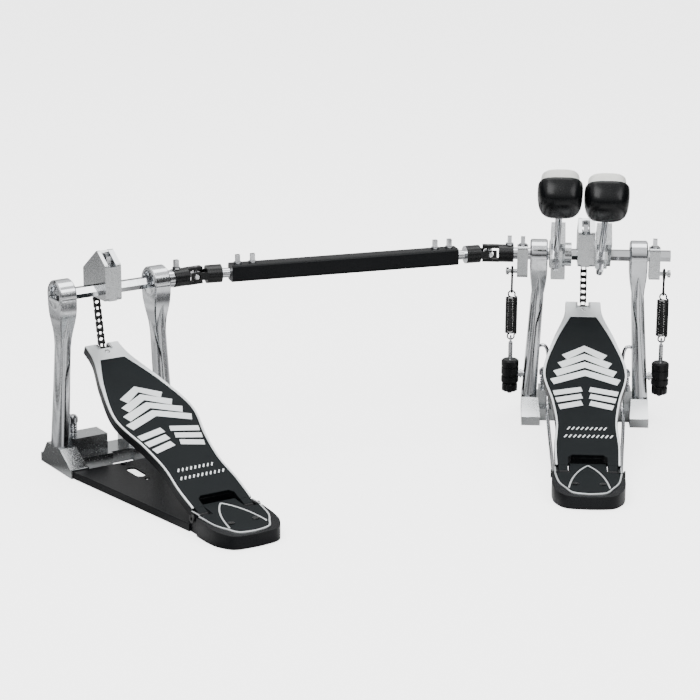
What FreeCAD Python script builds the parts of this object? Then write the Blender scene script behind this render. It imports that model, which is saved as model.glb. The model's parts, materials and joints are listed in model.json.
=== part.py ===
"""Double bass drum pedal: primary pedal, slave pedal and the link shaft between them.

Millimetres, +Z up, +X to the drummer's right, +Y towards the drum. The origin lies on the floor
under the primary pedal's shaft, on the centre line of its footboard. Each pedal is drawn in its
own frame (shaft along X, heel towards -Y) and the slave pedal is then placed in the row frame.
"""
import FreeCAD, Part
import math
import os
import re

V = FreeCAD.Vector
DOC = FreeCAD.newDocument("DoubleBassDrumPedal")

# ---------------------------------------------------------------- driving dimensions
SIZES = (
    ("ShaftHeight", 180.0),       # shaft axis above the floor
    ("ShaftFlats", 11.0),         # hexagon across flats
    ("RunGap", 0.05),             # radial running clearance
    ("PostMid", 4.0),             # middle of the two posts, off the footboard's centre line
    ("PostSpread", 53.0),         # post centre from that middle
    ("PostSplay", 7.0),           # how far each post leans outwards at its foot
    ("RingRadius", 16.0),
    ("RingWidth", 18.5),
    ("BearingRadius", 11.0),
    ("BearingWidth", 9.0),
    ("CastingHeight", 24.0),      # foot casting, floor to the post's socket
    ("CastingWidth", 20.0),
    ("BlockTop", 31.0),           # raised block of the base between foot casting and middle
    ("BlockInner", 12.0),         # its inner end, from the middle of the posts
    ("LedgeTop", 13.0),
    ("NeckHeight", 146.0),        # narrowest point of the post
    ("SpurOffset", 44.0),         # floor spur from the posts' middle
    ("SpurY", 3.0),
    ("ToeY", 15.0),               # footboard toe edge
    ("ToeZ", 121.0),
    ("SlaveToeZ", 115.0),
    ("HingeY", -239.0),           # footboard hinge at the heel
    ("HingeZ", 15.0),
    ("BoardThick", 9.0),
    ("MatThick", 1.6),
    ("RimWidth", 5.0),            # metal rim left bare around the mat
    ("HeelLength", 62.0),
    ("HeelHalfWidth", 36.0),
    ("HeelHeight", 19.5),
    ("CamRadius", 25.0),          # chain centre line from the shaft axis
    ("CamCore", 21.5),
    ("ChainPitch", 6.35),
    ("ChainWidth", 7.2),
    ("CheekLeft", -8.0),          # cam hub, outer faces of its two cheeks
    ("CheekRight", 10.0),
    ("RodRadius", 3.6),           # beater rod
    ("RodOffset", 14.0),          # beater rod axis from the shaft axis
    ("RightReach", 135.5),        # shaft axis to the right head's centre, along the rod
    ("LeftReach", 141.5),
    ("BeaterLean", 48.0),         # degrees behind the vertical at rest
    ("BeaterRightX", 16.0),
    ("BeaterLeftX", -31.5),
    ("HeadSide", 46.0),
    ("HeadDepth", 30.0),
    ("FeltSide", 37.5),
    ("FeltDepth", 9.5),
    ("ArmInner", 64.5),           # spring arm, from the middle of the posts
    ("ArmWidth", 11.5),
    ("ArmDrop", 25.0),            # spring arm below the shaft axis
    ("PinDrop", 19.5),            # spring pin below the shaft axis
    ("SpringOut", 81.0),          # spring centre line from the middle of the posts
    ("SpringRadius", 6.6),
    ("SpringTop", 132.0),
    ("SpringFoot", 91.0),
    ("EyeHeight", 85.0),          # eye of the tension rod
    ("HolderTop", 62.0),
    ("HolderFoot", 36.0),
    ("HolderRadius", 9.5),
    ("JointReach", 103.0),        # universal joint centre from each pedal's centre line
    ("LinkLength", 323.0),        # between the two joint centres
    ("LinkAngle", 21.3),          # degrees, link shaft away from +X
    ("SlaveYaw", 36.0),           # degrees, slave pedal turned about Z
    ("LinkRodRadius", 5.0),
    ("TubeHalf", 9.0),
    ("TubeStart", 37.0),          # link tube, from the slave joint's centre
    ("TubeEnd", 286.0),
)

SHEET = DOC.addObject("Spreadsheet::Sheet", "Sizes")
for row, (alias, value) in enumerate(SIZES, start=1):
    SHEET.set(f"A{row}", alias)
    SHEET.set(f"B{row}", str(value))
    SHEET.setAlias(f"B{row}", alias)
DOC.recompute()


def size(alias):
    """A driving dimension, read back from the sheet."""
    return float(SHEET.get(alias))


def bind(target, prop, expression):
    """Bind a property to an expression in which every capitalised word is a sheet alias."""
    target.setExpression(prop, re.sub(r"\b([A-Z]\w+)", r"Sizes.\1", str(expression)))


# ---------------------------------------------------------------- building blocks
X_AXIS = V(1, 0, 0)
Y_AXIS = V(0, 1, 0)
Z_AXIS = V(0, 0, 1)


def bind_base(solid, point):
    for axis, value in zip("xyz", point):
        bind(solid, f"Placement.Base.{axis}", value)


def box(x_span, y_span, z_span):
    """A box between two faces on each axis."""
    solid = DOC.addObject("Part::Box", "Box")
    for prop, (low, high) in zip(("Length", "Width", "Height"), (x_span, y_span, z_span)):
        bind(solid, prop, f"({high}) - ({low})")
    bind_base(solid, (x_span[0], y_span[0], z_span[0]))
    return solid


def cylinder(radius, start, length, axis=Z_AXIS):
    solid = DOC.addObject("Part::Cylinder", "Cylinder")
    solid.Placement = FreeCAD.Placement(V(), FreeCAD.Rotation(Z_AXIS, axis))
    bind(solid, "Radius", radius)
    bind(solid, "Height", length)
    bind_base(solid, start)
    return solid


def torus(ring_radius, wire_radius, centre, axis=Z_AXIS):
    solid = DOC.addObject("Part::Torus", "Torus")
    solid.Placement = FreeCAD.Placement(V(), FreeCAD.Rotation(Z_AXIS, axis))
    bind(solid, "Radius1", ring_radius)
    bind(solid, "Radius2", wire_radius)
    bind_base(solid, centre)
    return solid


def hexagon(flats, start, length, axis):
    """A hexagonal bar with two flats facing up and down when it lies along X."""
    solid = DOC.addObject("Part::Prism", "Prism")
    solid.Polygon = 6
    turn = FreeCAD.Rotation(Z_AXIS, axis) * FreeCAD.Rotation(Z_AXIS, 30)
    solid.Placement = FreeCAD.Placement(V(), turn)
    bind(solid, "Circumradius", f"({flats}) / 2 / cos(30 deg)")
    bind(solid, "Height", length)
    bind_base(solid, start)
    return solid


def taper(z_span, low_x, low_y, high_x, high_y):
    """A straight-sided block whose rectangle changes between its foot and its top."""
    solid = DOC.addObject("Part::Wedge", "Wedge")
    solid.Placement = FreeCAD.Placement(V(), FreeCAD.Rotation(X_AXIS, 90))
    spans = (("Ymin", "Ymax", z_span), ("Xmin", "Xmax", low_x), ("X2min", "X2max", high_x))
    for prop_low, prop_high, (low, high) in spans:
        bind(solid, prop_low, low)
        bind(solid, prop_high, high)
    for prop_low, prop_high, (low, high) in (("Zmin", "Zmax", low_y), ("Z2min", "Z2max", high_y)):
        bind(solid, prop_low, f"-({high})")
        bind(solid, prop_high, f"-({low})")
    return solid


def fuse(*solids):
    joined = DOC.addObject("Part::MultiFuse", "Fusion")
    joined.Shapes = list(solids)
    return joined


def cut(base, *tools):
    result = DOC.addObject("Part::Cut", "Cut")
    result.Base = base
    result.Tool = tools[0] if len(tools) == 1 else fuse(*tools)
    return result


def placed(place, *solids):
    """Solids moved together."""
    group = DOC.addObject("Part::Compound", "Group")
    group.Links = list(solids)
    group.Placement = place
    return group


def round_edges(base, radius, choose):
    """Fillet the edges of a recomputed solid that the test picks out."""
    DOC.recompute()
    numbers = [n for n, edge in enumerate(base.Shape.Edges, start=1) if choose(edge)]
    result = DOC.addObject("Part::Fillet", "Fillet")
    result.Base = base
    result.Edges = [(n, radius, radius) for n in numbers]
    return result


PIECES = []


def piece(label, place, *solids):
    """Register one sub-part. Two or more solids make a group of like pieces in one node."""
    whole = DOC.addObject("Part::Compound", "Piece")
    whole.Links = list(solids)
    whole.Placement = place
    whole.Label = label
    PIECES.append(whole)
    return whole


def shaped_piece(label, place, shape):
    """A sub-part whose shape comes from Part's own functions."""
    whole = DOC.addObject("Part::Feature", "Shaped")
    whole.Shape = shape
    whole.Placement = place
    whole.Label = label
    PIECES.append(whole)
    return whole


# ---------------------------------------------------------------- frames
def heading(degrees):
    return V(math.cos(math.radians(degrees)), math.sin(math.radians(degrees)), 0)


PRIMARY = FreeCAD.Placement()
PRIMARY_JOINT = V(-size("JointReach"), 0, size("ShaftHeight"))
SLAVE_JOINT = PRIMARY_JOINT - heading(size("LinkAngle")) * size("LinkLength")
SLAVE_ORIGIN = SLAVE_JOINT - heading(size("SlaveYaw")) * size("JointReach")
SLAVE_ORIGIN.z = 0
SLAVE = FreeCAD.Placement(SLAVE_ORIGIN, FreeCAD.Rotation(Z_AXIS, size("SlaveYaw")))
LINK = FreeCAD.Placement(SLAVE_JOINT, FreeCAD.Rotation(Z_AXIS, size("LinkAngle")))

BOARD_LENGTH = math.hypot(size("ToeZ") - size("HingeZ"), size("ToeY") - size("HingeY"))


def board_place(toe_height):
    """Where the footboard lies when its toe edge is at that height."""
    slope = math.degrees(math.asin((size(toe_height) - size("HingeZ")) / BOARD_LENGTH))
    return FreeCAD.Placement(V(0, size("HingeY"), size("HingeZ")), FreeCAD.Rotation(X_AXIS, slope))


# ---------------------------------------------------------------- shared shapes
def sketch_on(body, plane_role, name, edges):
    """A sketch on one of a body's own origin planes, holding the given edges."""
    plane = next(item for item in body.Origin.OriginFeatures if item.Role == plane_role)
    sketch = body.newObject("Sketcher::SketchObject", name)
    sketch.AttachmentSupport = [(plane, "")]
    sketch.MapMode = "FlatFace"
    sketch.addGeometry(edges, False)
    return sketch


def pad_body(name, edges, height):
    """A PartDesign body: one closed outline on the XY plane, padded upwards."""
    body = DOC.addObject("PartDesign::Body", name)
    outline = sketch_on(body, "XY_Plane", f"{name}Outline", edges)
    pad = body.newObject("PartDesign::Pad", f"{name}Pad")
    pad.Profile = outline
    bind(pad, "Length", height)
    body.Tip = pad
    return body


def polygon_edges(points):
    """Straight edges through (x, y) points, closed."""
    corners = [V(x, y, 0) for x, y in points]
    return [Part.LineSegment(a, b) for a, b in zip(corners, corners[1:] + corners[:1])]


def flank_outline(flank, toe_notch=None):
    """Edges of an outline that mirrors one curved flank, given from heel to toe."""
    right = [V(x, y, 0) for x, y in flank]
    left = [V(-x, y, 0) for x, y in flank]
    edges = []
    for side in (right, left):
        curve = Part.BSplineCurve()
        curve.interpolate(side)
        edges.append(curve)
    toe = [right[-1], left[-1]]
    if toe_notch:
        half, floor = toe_notch
        top = right[-1].y
        corners = ((half, top), (half, floor), (-half, floor), (-half, top))
        toe[1:1] = [V(x, y, 0) for x, y in corners]
    edges += [Part.LineSegment(a, b) for a, b in zip(toe, toe[1:])]
    edges.append(Part.LineSegment(left[0], right[0]))
    return edges


def key_bolt(x, y, z, axis=Z_AXIS):
    """A drum-key bolt seen above its seat: flange and square head."""
    flange = cylinder(4.2, (0, 0, 0), 1.8)
    head = box((-2.3, 2.3), (-2.3, 2.3), (1.8, 9.5))
    bolt = fuse(flange, head)
    bolt.Placement = FreeCAD.Placement(V(x, y, z), FreeCAD.Rotation(Z_AXIS, axis))
    return bolt


def wire_shape(radius, points):
    """A bent wire of round section through the points, with ball corners."""
    corners = [V(*point) for point in points]
    runs = [Part.makeCylinder(radius, (end - start).Length, start, end - start)
            for start, end in zip(corners, corners[1:])]
    balls = [Part.makeSphere(radius, corner) for corner in corners[1:-1]]
    return runs[0].multiFuse(runs[1:] + balls)


def link_plate(start, end, x, thick, radius):
    """One chain side plate: a bar with round ends from pin to pin, lying in a YZ plane."""
    along = (end - start).normalize()
    across = X_AXIS.cross(along) * radius
    low, high = start + X_AXIS * x, end + X_AXIS * x
    edges = [
        Part.makeLine(low + across, high + across),
        Part.Arc(high + across, high + along * radius, high - across).toShape(),
        Part.makeLine(high - across, low - across),
        Part.Arc(low - across, low - along * radius, low + across).toShape(),
    ]
    return Part.Face(Part.Wire(edges)).extrude(X_AXIS * thick)


def chain_shape(pins):
    """Roller chain through the pin centres: inner and outer links take turns."""
    width = size("ChainWidth")
    thick = 0.8
    solids = [Part.makeCylinder(1.2, width, pin - X_AXIS * width / 2, X_AXIS) for pin in pins]
    inner = width - 4 * thick
    solids += [Part.makeCylinder(1.7, inner, pin - X_AXIS * inner / 2, X_AXIS) for pin in pins]
    for number, (start, end) in enumerate(zip(pins, pins[1:])):
        reach = width / 2 - 0.2 if number % 2 else width / 2 - thick
        for x in (reach - thick, -reach):
            solids.append(link_plate(start, end, x, thick, 2.7))
    return solids[0].multiFuse(solids[1:])


TOE_PIN_ON_BOARD = V(0, BOARD_LENGTH - 5.0, 1.0)
TOE_PIN_RADIUS = 1.0
STRAND_PAST = 14.0    # how far the strand runs on past the cam, between the cheeks
WRAP_START = 40.0     # degrees above the level through the shaft
WRAP_LINKS = 2


def strand_pins(toe_pin):
    """Pins on the line from the toe pin that just touches the cam's pitch circle."""
    to_axis = V(0, 0, size("ShaftHeight")) - toe_pin
    radius = size("CamRadius")
    lean = math.asin(radius / to_axis.Length) + math.atan2(to_axis.y, to_axis.z)
    run = math.sqrt(to_axis.Length ** 2 - radius ** 2) + STRAND_PAST
    step = V(0, math.sin(lean), math.cos(lean)) * size("ChainPitch")
    return [toe_pin + step * n for n in range(int(run / size("ChainPitch")) + 1)]


def wrapped_pins():
    """Pins of the links that stay on the cam, up towards its top."""
    radius = size("CamRadius")
    step = 2 * math.asin(size("ChainPitch") / 2 / radius)
    angles = [math.radians(WRAP_START) + step * n for n in range(WRAP_LINKS + 1)]
    centre = V(0, 0, size("ShaftHeight"))
    return [centre + V(0, radius * math.cos(a), radius * math.sin(a)) for a in angles]


# ---------------------------------------------------------------- frame of either pedal
def side_x(side, offset):
    """Distance from the posts' middle, to one side."""
    return f"PostMid + ({side}) * ({offset})"


def span_x(side, low, high):
    """A pair of X faces, in rising order, measured outwards from the posts' middle."""
    faces = (side_x(side, low), side_x(side, high))
    return faces if side > 0 else faces[::-1]


def post(side):
    """Ring head, narrow neck and a leg that leans outwards down to the casting."""
    x = side_x(side, "PostSpread")
    foot = side_x(side, "PostSpread + PostSplay")
    ring = cylinder("RingRadius", (f"{x} - RingWidth / 2", 0, "ShaftHeight"), "RingWidth", X_AXIS)
    waist_x = (f"{x} - 6.5", f"{x} + 6.5")
    waist_y = (-8.5, 8.5)
    ring_x = (f"{x} - RingWidth / 2", f"{x} + RingWidth / 2")
    ring_y = ("1.8 - RingRadius", "RingRadius - 1.8")
    neck = taper(("NeckHeight", "ShaftHeight - BearingRadius - 0.5"), waist_x, waist_y, ring_x, ring_y)
    foot_x = (f"{foot} - 8", f"{foot} + 8")
    leg = taper(("CastingHeight", "NeckHeight"), foot_x, (-11, 11), waist_x, waist_y)
    start = (f"{x} - RingWidth / 2 - 1", 0, "ShaftHeight")
    bore = cylinder("BearingRadius", start, "RingWidth + 2", X_AXIS)
    return cut(fuse(ring, neck, leg), bore)


SHAFT_CORNER = "ShaftFlats / 2 / cos(30 deg)"


def bearing(side):
    """Ball bearing pressed into a ring; the hexagon's corners run in its bore."""
    start = side_x(side, "PostSpread") + " - BearingWidth / 2"
    race = cylinder("BearingRadius", (start, 0, "ShaftHeight"), "BearingWidth", X_AXIS)
    bore = cylinder(f"{SHAFT_CORNER} + RunGap", (f"{start} - 1", 0, "ShaftHeight"),
                    "BearingWidth + 2", X_AXIS)
    return cut(race, bore)


def foot_casting(side):
    foot = span_x(side, "PostSpread + 5 - CastingWidth / 2", "PostSpread + 5 + CastingWidth / 2")
    shoulder = span_x(side, "PostSpread + PostSplay - 10", "PostSpread + PostSplay + 8")
    slab = box(foot, (-40, 30), (0, 9))
    block = taper((9, "CastingHeight"), foot, (-38, 26), shoulder, (-15, 15))
    return fuse(slab, block)


SPUR_RADIUS = 3.0


def base_frame():
    """Two foot castings joined by a low bar, with a raised block and a ledge beside each casting."""
    bar = box((side_x(-1, "BlockInner"), side_x(1, "BlockInner")), (-18, 14), (0, "LedgeTop"))
    blocks = []
    for side in (-1, 1):
        reach = span_x(side, "BlockInner", "PostSpread - 3")
        blocks.append(box(reach, (-11, 14), (0, "BlockTop")))
        blocks.append(box(reach, (-22, -11), (0, "LedgeTop")))
    holes = [cylinder(f"{SPUR_RADIUS} + RunGap", (side_x(side, "SpurOffset"), "SpurY", -1), "BlockTop + 2")
             for side in (-1, 1)]
    return cut(fuse(bar, foot_casting(-1), foot_casting(1), *blocks), *holes)


def spur(side):
    """Floor spur: a threaded bolt with its lock spring and knurled head."""
    x = side_x(side, "SpurOffset")
    shank = cylinder(SPUR_RADIUS, (x, "SpurY", 1.5), "BlockTop + 14")
    spring = cylinder(4.4, (x, "SpurY", "BlockTop + 0.2"), 10)
    head = cylinder(5.3, (x, "SpurY", "BlockTop + 13"), 8)
    return fuse(shank, spring, head)


def heel_outline(half, front, back):
    """Straight sides, then an arc round each back corner to a gently curved end."""
    corner = back + 3
    turn = front - (front - back) * 0.42
    sides = []
    for x in (half, -half):
        middle = V(x * 0.9, turn - (turn - corner) * 0.58, 0)
        sides.append(Part.Arc(V(x, turn, 0), middle, V(x * 0.6, corner, 0)))
    end = Part.Arc(V(half * 0.6, corner, 0), V(0, back, 0), V(-half * 0.6, corner, 0))
    lines = [
        Part.LineSegment(V(-half, turn, 0), V(-half, front, 0)),
        Part.LineSegment(V(-half, front, 0), V(half, front, 0)),
        Part.LineSegment(V(half, front, 0), V(half, turn, 0)),
    ]
    return lines + sides + [end]


HEEL_SLOPE = 5.4      # degrees the heel plate's top falls towards the back
HEEL_FRONT = size("HingeY") - 8.0
HEEL_BACK = size("HingeY") - size("HeelLength")
LUG_FRONT = size("HingeY") + 6.5
KNUCKLE_IN = 19.5
KNUCKLE_OUT = 29.5
HINGE_PIN_RADIUS = 2.95


def above_heel(lift, depth):
    """A slab lying along the heel plate's sloping top, raised by the lift."""
    slab = DOC.addObject("Part::Box", "Slab")
    bind(slab, "Length", 120)
    bind(slab, "Width", 100)
    bind(slab, "Height", depth)
    back = math.radians(HEEL_SLOPE)
    base = V(-60, size("HingeY") - 100 * math.cos(back),
             size("HeelHeight") + lift - 100 * math.sin(back))
    slab.Placement = FreeCAD.Placement(base, FreeCAD.Rotation(X_AXIS, HEEL_SLOPE))
    return slab


def heel_plate(name):
    """Heel casting with its two hinge lugs and the middle block under the board's recess."""
    body = pad_body(name, heel_outline(size("HeelHalfWidth"), HEEL_FRONT, HEEL_BACK), "HeelHeight")
    sloped = cut(body, above_heel(0, 30))
    lugs = [box(span, (HEEL_FRONT, LUG_FRONT), (0, "HingeZ + 5"))
            for span in ((-34, -KNUCKLE_OUT - 0.3), (KNUCKLE_OUT + 0.3, 34))]
    block = box((-KNUCKLE_IN + 0.5, KNUCKLE_IN - 0.5), (HEEL_FRONT, LUG_FRONT), (0, "HingeZ + 4.3"))
    bore = cylinder(f"{HINGE_PIN_RADIUS} + RunGap", (-40, "HingeY", "HingeZ"), 80, X_AXIS)
    return cut(fuse(sloped, block, *lugs), bore)


def heel_mat(name):
    """Rubber inlay on the sloping top of the heel plate."""
    inset = size("RimWidth")
    outline = heel_outline(size("HeelHalfWidth") - inset, HEEL_FRONT, HEEL_BACK + inset)
    body = pad_body(name, outline, "HeelHeight + 10")
    common = DOC.addObject("Part::Common", "Common")
    common.Base = body
    common.Tool = above_heel(0, 1.2)
    return common


def heel_screws():
    """Heads of the two screws that hold the rubber inlay."""
    return [cylinder(3.2, (x, "HingeY - 34", "HeelHeight - 3.4"), 1.4) for x in (-13.5, 13.5)]


def hinge_pin():
    """Hinge pin with a hollow riveted end on each side."""
    pin = cylinder(HINGE_PIN_RADIUS, (-36.5, "HingeY", "HingeZ"), 73, X_AXIS)
    ends = [cylinder(4.2, (x, "HingeY", "HingeZ"), 1.5, X_AXIS) for x in (-37, 35.5)]
    hollows = [cylinder(1.8, (x, "HingeY", "HingeZ"), 4.5, X_AXIS) for x in (-37.5, 33)]
    return cut(fuse(pin, *ends), *hollows)


# ---------------------------------------------------------------- footboard
BOARD_FLANK = ((33, 9), (33.6, 38), (31.7, 72), (36, 108), (44.3, 153), (34.5, 204), (21.5, 248), (19.2, 274))
MAT_FLANK = ((28.5, 9), (29, 38), (27.2, 72), (31.5, 108), (39.6, 153), (30.5, 200), (13.5, 246))


def footboard(name):
    """Guitar-shaped board with a toe notch for the chain and two knuckles at the heel."""
    plate = pad_body(name, flank_outline(BOARD_FLANK, toe_notch=(5.5, 265.5)), "BoardThick")
    plate.Placement = FreeCAD.Placement(V(0, 0, -size("BoardThick") / 2), FreeCAD.Rotation())
    recess = box((-KNUCKLE_IN, KNUCKLE_IN), (0, 24), (-20, 20))
    barrels = [cylinder(5.5, (x, 0, 0), KNUCKLE_OUT - KNUCKLE_IN, X_AXIS)
               for x in (-KNUCKLE_OUT, KNUCKLE_IN)]
    webs = [box((x, x + KNUCKLE_OUT - KNUCKLE_IN), (0, 12), (-4.5, 4.5)) for x in (-KNUCKLE_OUT, KNUCKLE_IN)]
    bore = cylinder(f"{HINGE_PIN_RADIUS} + RunGap", (-40, 0, 0), 80, X_AXIS)
    toe_pin = cylinder(TOE_PIN_RADIUS, (-8, TOE_PIN_ON_BOARD.y, TOE_PIN_ON_BOARD.z), 16, X_AXIS)
    return cut(fuse(cut(plate, recess), toe_pin, *barrels, *webs), bore)


def board_mat(name):
    mat = pad_body(name, flank_outline(MAT_FLANK), "MatThick")
    mat.Placement = FreeCAD.Placement(V(0, 0, size("BoardThick") / 2), FreeCAD.Rotation())
    return cut(mat, box((-KNUCKLE_IN, KNUCKLE_IN), (0, 24), (-20, 20)))


# ---------------------------------------------------------------- rocker
SHAFT_POINT = (0, 0, "ShaftHeight")
LEAN = FreeCAD.Placement(V(0, 0, size("ShaftHeight")), FreeCAD.Rotation(X_AXIS, size("BeaterLean")))
UPRIGHT = FreeCAD.Rotation(V(1, 1, 1), 120)    # sketch X and Y become the pedal's Y and Z
CHEEK_GAP = 4.3
CHEEK_PROFILE = ((-15, -10), (35, -10), (35, 16), (3, 40), (-15, 27))
HUB_BACK = -15        # cam hub, from the shaft axis
HUB_FOOT = -10
HUB_SEAT = 25          # bolt seat between the cheeks, above the shaft axis


def shaft_hole(hexagonal=True):
    start = (-120, 0, "ShaftHeight")
    if hexagonal:
        return hexagon("ShaftFlats", start, 260, X_AXIS)
    return cylinder(SHAFT_CORNER, start, 260, X_AXIS)


def cam_hub(name):
    """House-shaped hub: two cheeks, a round cam under the chain, a back wall and a bolt seat."""
    cheeks = []
    for part_name, low, thick in (("Left", "CheekLeft", f"-CheekLeft - {CHEEK_GAP}"),
                                  ("Right", str(CHEEK_GAP), f"CheekRight - {CHEEK_GAP}")):
        body = pad_body(f"{name}{part_name}", polygon_edges(CHEEK_PROFILE), thick)
        body.Placement = FreeCAD.Placement(V(), UPRIGHT)
        bind_base(body, (low, 0, "ShaftHeight"))
        cheeks.append(round_edges(body, 3.0, lambda edge: edge.Length < 20 and abs(
            edge.tangentAt(edge.FirstParameter).x) > 0.9))
    inner = (-CHEEK_GAP, CHEEK_GAP)
    core = DOC.addObject("Part::Common", "Core")
    core.Base = cylinder("CamCore", (-CHEEK_GAP, 0, "ShaftHeight"), 2 * CHEEK_GAP, X_AXIS)
    core.Tool = box(inner, (HUB_BACK, "CamCore"), (f"ShaftHeight + {HUB_FOOT}", "ShaftHeight + CamCore"))
    wall = box(inner, (HUB_BACK, HUB_BACK + 4), (f"ShaftHeight + {HUB_FOOT}", "ShaftHeight + 22"))
    seat = box(inner, (HUB_BACK, 3), ("ShaftHeight + 20", f"ShaftHeight + {HUB_SEAT}"))
    return cut(fuse(core, wall, seat, *cheeks), shaft_hole())


def rounded_square(side, corner):
    """Outline of a square with round corners."""
    half = side / 2
    flat = half - corner
    elbow = V(flat + corner * math.cos(math.pi / 4), flat + corner * math.sin(math.pi / 4), 0)
    edges = []
    for quarter in range(4):
        turn = FreeCAD.Rotation(Z_AXIS, 90 * quarter)
        low, high = turn.multVec(V(half, -flat, 0)), turn.multVec(V(half, flat, 0))
        edges.append(Part.LineSegment(low, high))
        edges.append(Part.Arc(high, turn.multVec(elbow), turn.multVec(V(flat, half, 0))))
    return edges


def across_rod(body, x, start, reach):
    """Stand a padded outline so that it runs towards the drum at the height of the head."""
    body.Placement = FreeCAD.Placement(V(), FreeCAD.Rotation(X_AXIS, -90))
    bind_base(body, (x, start, reach))


def beater(side_name, x, rod_foot, reach):
    """Rod, cup and felt of one beater, drawn along the leaning rod."""
    rod = cylinder("RodRadius", (x, "-RodOffset", rod_foot), f"{reach} - 6 - ({rod_foot})")
    piece(f"beater_rod_{side_name}", LEAN, rod)
    cup = pad_body(f"Cup{side_name}", rounded_square(size("HeadSide"), 12.0), "HeadDepth")
    across_rod(cup, x, "-RodOffset - HeadDepth / 2", reach)
    back = -size("RodOffset") - size("HeadDepth") / 2
    domed = round_edges(cup, 9.0, lambda edge: edge.BoundBox.YMax < back + 0.01)
    socket = cylinder("RodRadius", (x, "-RodOffset", 90), f"{reach} - 6 - 90")
    piece(f"beater_head_{side_name}", LEAN, cut(domed, socket))
    felt = pad_body(f"Felt{side_name}", rounded_square(size("FeltSide"), 11.0), "FeltDepth")
    across_rod(felt, x, "-RodOffset + HeadDepth / 2", reach)
    front = -size("RodOffset") + size("HeadDepth") / 2 + size("FeltDepth")
    soft = round_edges(felt, 2.5, lambda edge: edge.BoundBox.YMin > front - 0.01)
    piece(f"beater_felt_{side_name}", LEAN, soft)


def clamp_block(x_span, hub_radius, x_rod):
    """Hub round the shaft with the block that grips the beater rod, in the leaning frame."""
    start, end = x_span
    hub = cylinder(hub_radius, (start, 0, 0), end - start, X_AXIS)
    web = box(x_span, (-12, 6), (0, 22))
    grip = box((max(start, x_rod - 6.5), x_rod + 6.5), (-21.5, -6.5), (9, 30))
    crown = box((start + 1, end), (-8, 18), (16, 38))
    bore = cylinder("RodRadius + RunGap", (x_rod, "-RodOffset", -60), 130)
    return placed(LEAN, fuse(hub, web, grip, crown)), placed(LEAN, bore)


def beater_clamp():
    block, bore = clamp_block((10.0, 27.0), 12.0, size("BeaterRightX"))
    return cut(block, bore, shaft_hole())


def secondary_hub():
    """Left beater's hub: turns on the primary shaft's journal, driven by the link sleeve."""
    block, bore = clamp_block((-38.0, -22.0), 14.0, size("BeaterLeftX"))
    tab = box((-36, -21), (-8, 7), ("ShaftHeight - 26", "ShaftHeight"))
    collar = cylinder(12.5, (-22, 0, "ShaftHeight"), 7.5, X_AXIS)
    journal = cylinder("4 + RunGap", (-39, 0, "ShaftHeight"), 30, X_AXIS)
    return cut(fuse(block, tab, collar), bore, journal)


def spring_arm(side, hexagonal):
    """Arm clamped on the shaft outside the post, with the pin that carries the spring hook."""
    block = box(span_x(side, "ArmInner", "ArmInner + ArmWidth"), (-7.5, 7.5),
                ("ShaftHeight - ArmDrop", "ShaftHeight + 9"))
    arm = round_edges(block, 3.0, lambda edge: edge.Length < 13 and abs(
        edge.tangentAt(edge.FirstParameter).x) > 0.9)
    pin_x = span_x(side, "ArmInner + ArmWidth", "ArmInner + ArmWidth + 12")
    pin_z = "ShaftHeight - PinDrop"
    pin = cylinder(2.2, (pin_x[0], 0, pin_z), 12, X_AXIS)
    knob_x = span_x(side, "SpringOut + 3.5", "SpringOut + 6.5")
    knob = cylinder(4.0, (knob_x[0], 0, pin_z), 3, X_AXIS)
    return cut(fuse(arm, pin, knob), shaft_hole(hexagonal))


# ---------------------------------------------------------------- return springs
def spring_set(side, name):
    """Coil with end loops, hook to the arm's pin, threaded rod, holder and knob."""
    x = side_x(side, "SpringOut")
    tube = cylinder("SpringRadius", (x, 0, "SpringFoot"), "SpringTop - SpringFoot")
    hollow = cylinder("SpringRadius - 2", (x, 0, "SpringFoot + 1.5"), "SpringTop - SpringFoot - 3")
    loops = [torus(3.6, 0.9, (x, 0, z), Y_AXIS) for z in ("SpringFoot - 3", "SpringTop + 3")]
    piece(f"spring_{name}", PRIMARY, fuse(cut(tube, hollow), *loops))

    ring_z = "ShaftHeight - PinDrop - 1"
    ring = torus(5.6, 1.1, (x, 0, ring_z), X_AXIS)
    shank = cylinder(1.3, (x, 0, "SpringTop + 8.5"), f"{ring_z} - 5.6 - SpringTop - 8.5")
    piece(f"spring_hook_{name}", PRIMARY, fuse(ring, shank))
    return x


def tension_rod(x):
    eye = torus(3.0, 1.0, (x, 0, "EyeHeight"), X_AXIS)
    rod = cylinder(2.5, (x, 0, 24), "EyeHeight - 2.2 - 24")
    clear_eye = cylinder(2.0, (f"{x} - 3", 0, "EyeHeight"), 6, X_AXIS)
    return fuse(eye, cut(rod, clear_eye))


def tension_holder(side, x):
    """Barrel that carries the tension rod on a stud from the post."""
    barrel = cylinder("HolderRadius", (x, 0, "HolderFoot"), "HolderTop - HolderFoot")
    stud_x = span_x(side, 66.0, "SpringOut - HolderRadius + 2")
    stud = cylinder(3.4, (stud_x[0], 0, 46), f"({stud_x[1]}) - ({stud_x[0]})", X_AXIS)
    return cut(fuse(barrel, stud), cylinder(2.55, (x, 0, 20), 60))


def tension_knob(x):
    knob = cylinder("HolderRadius - 0.8", (x, 0, "HolderFoot - 9.5"), 9)
    return cut(knob, cylinder(2.55, (x, 0, 10), 40))


# ---------------------------------------------------------------- universal joints and link
EAR_SPAN = (6.0, 9.0)       # ears, from the joint's centre line
EAR_TIP = 6.5               # ears, past the joint's centre
YOKE_FACE = 11.0            # yoke body, from the joint's centre
YOKE_BACK = 27.0
YOKE_RADIUS = 9.5


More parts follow.
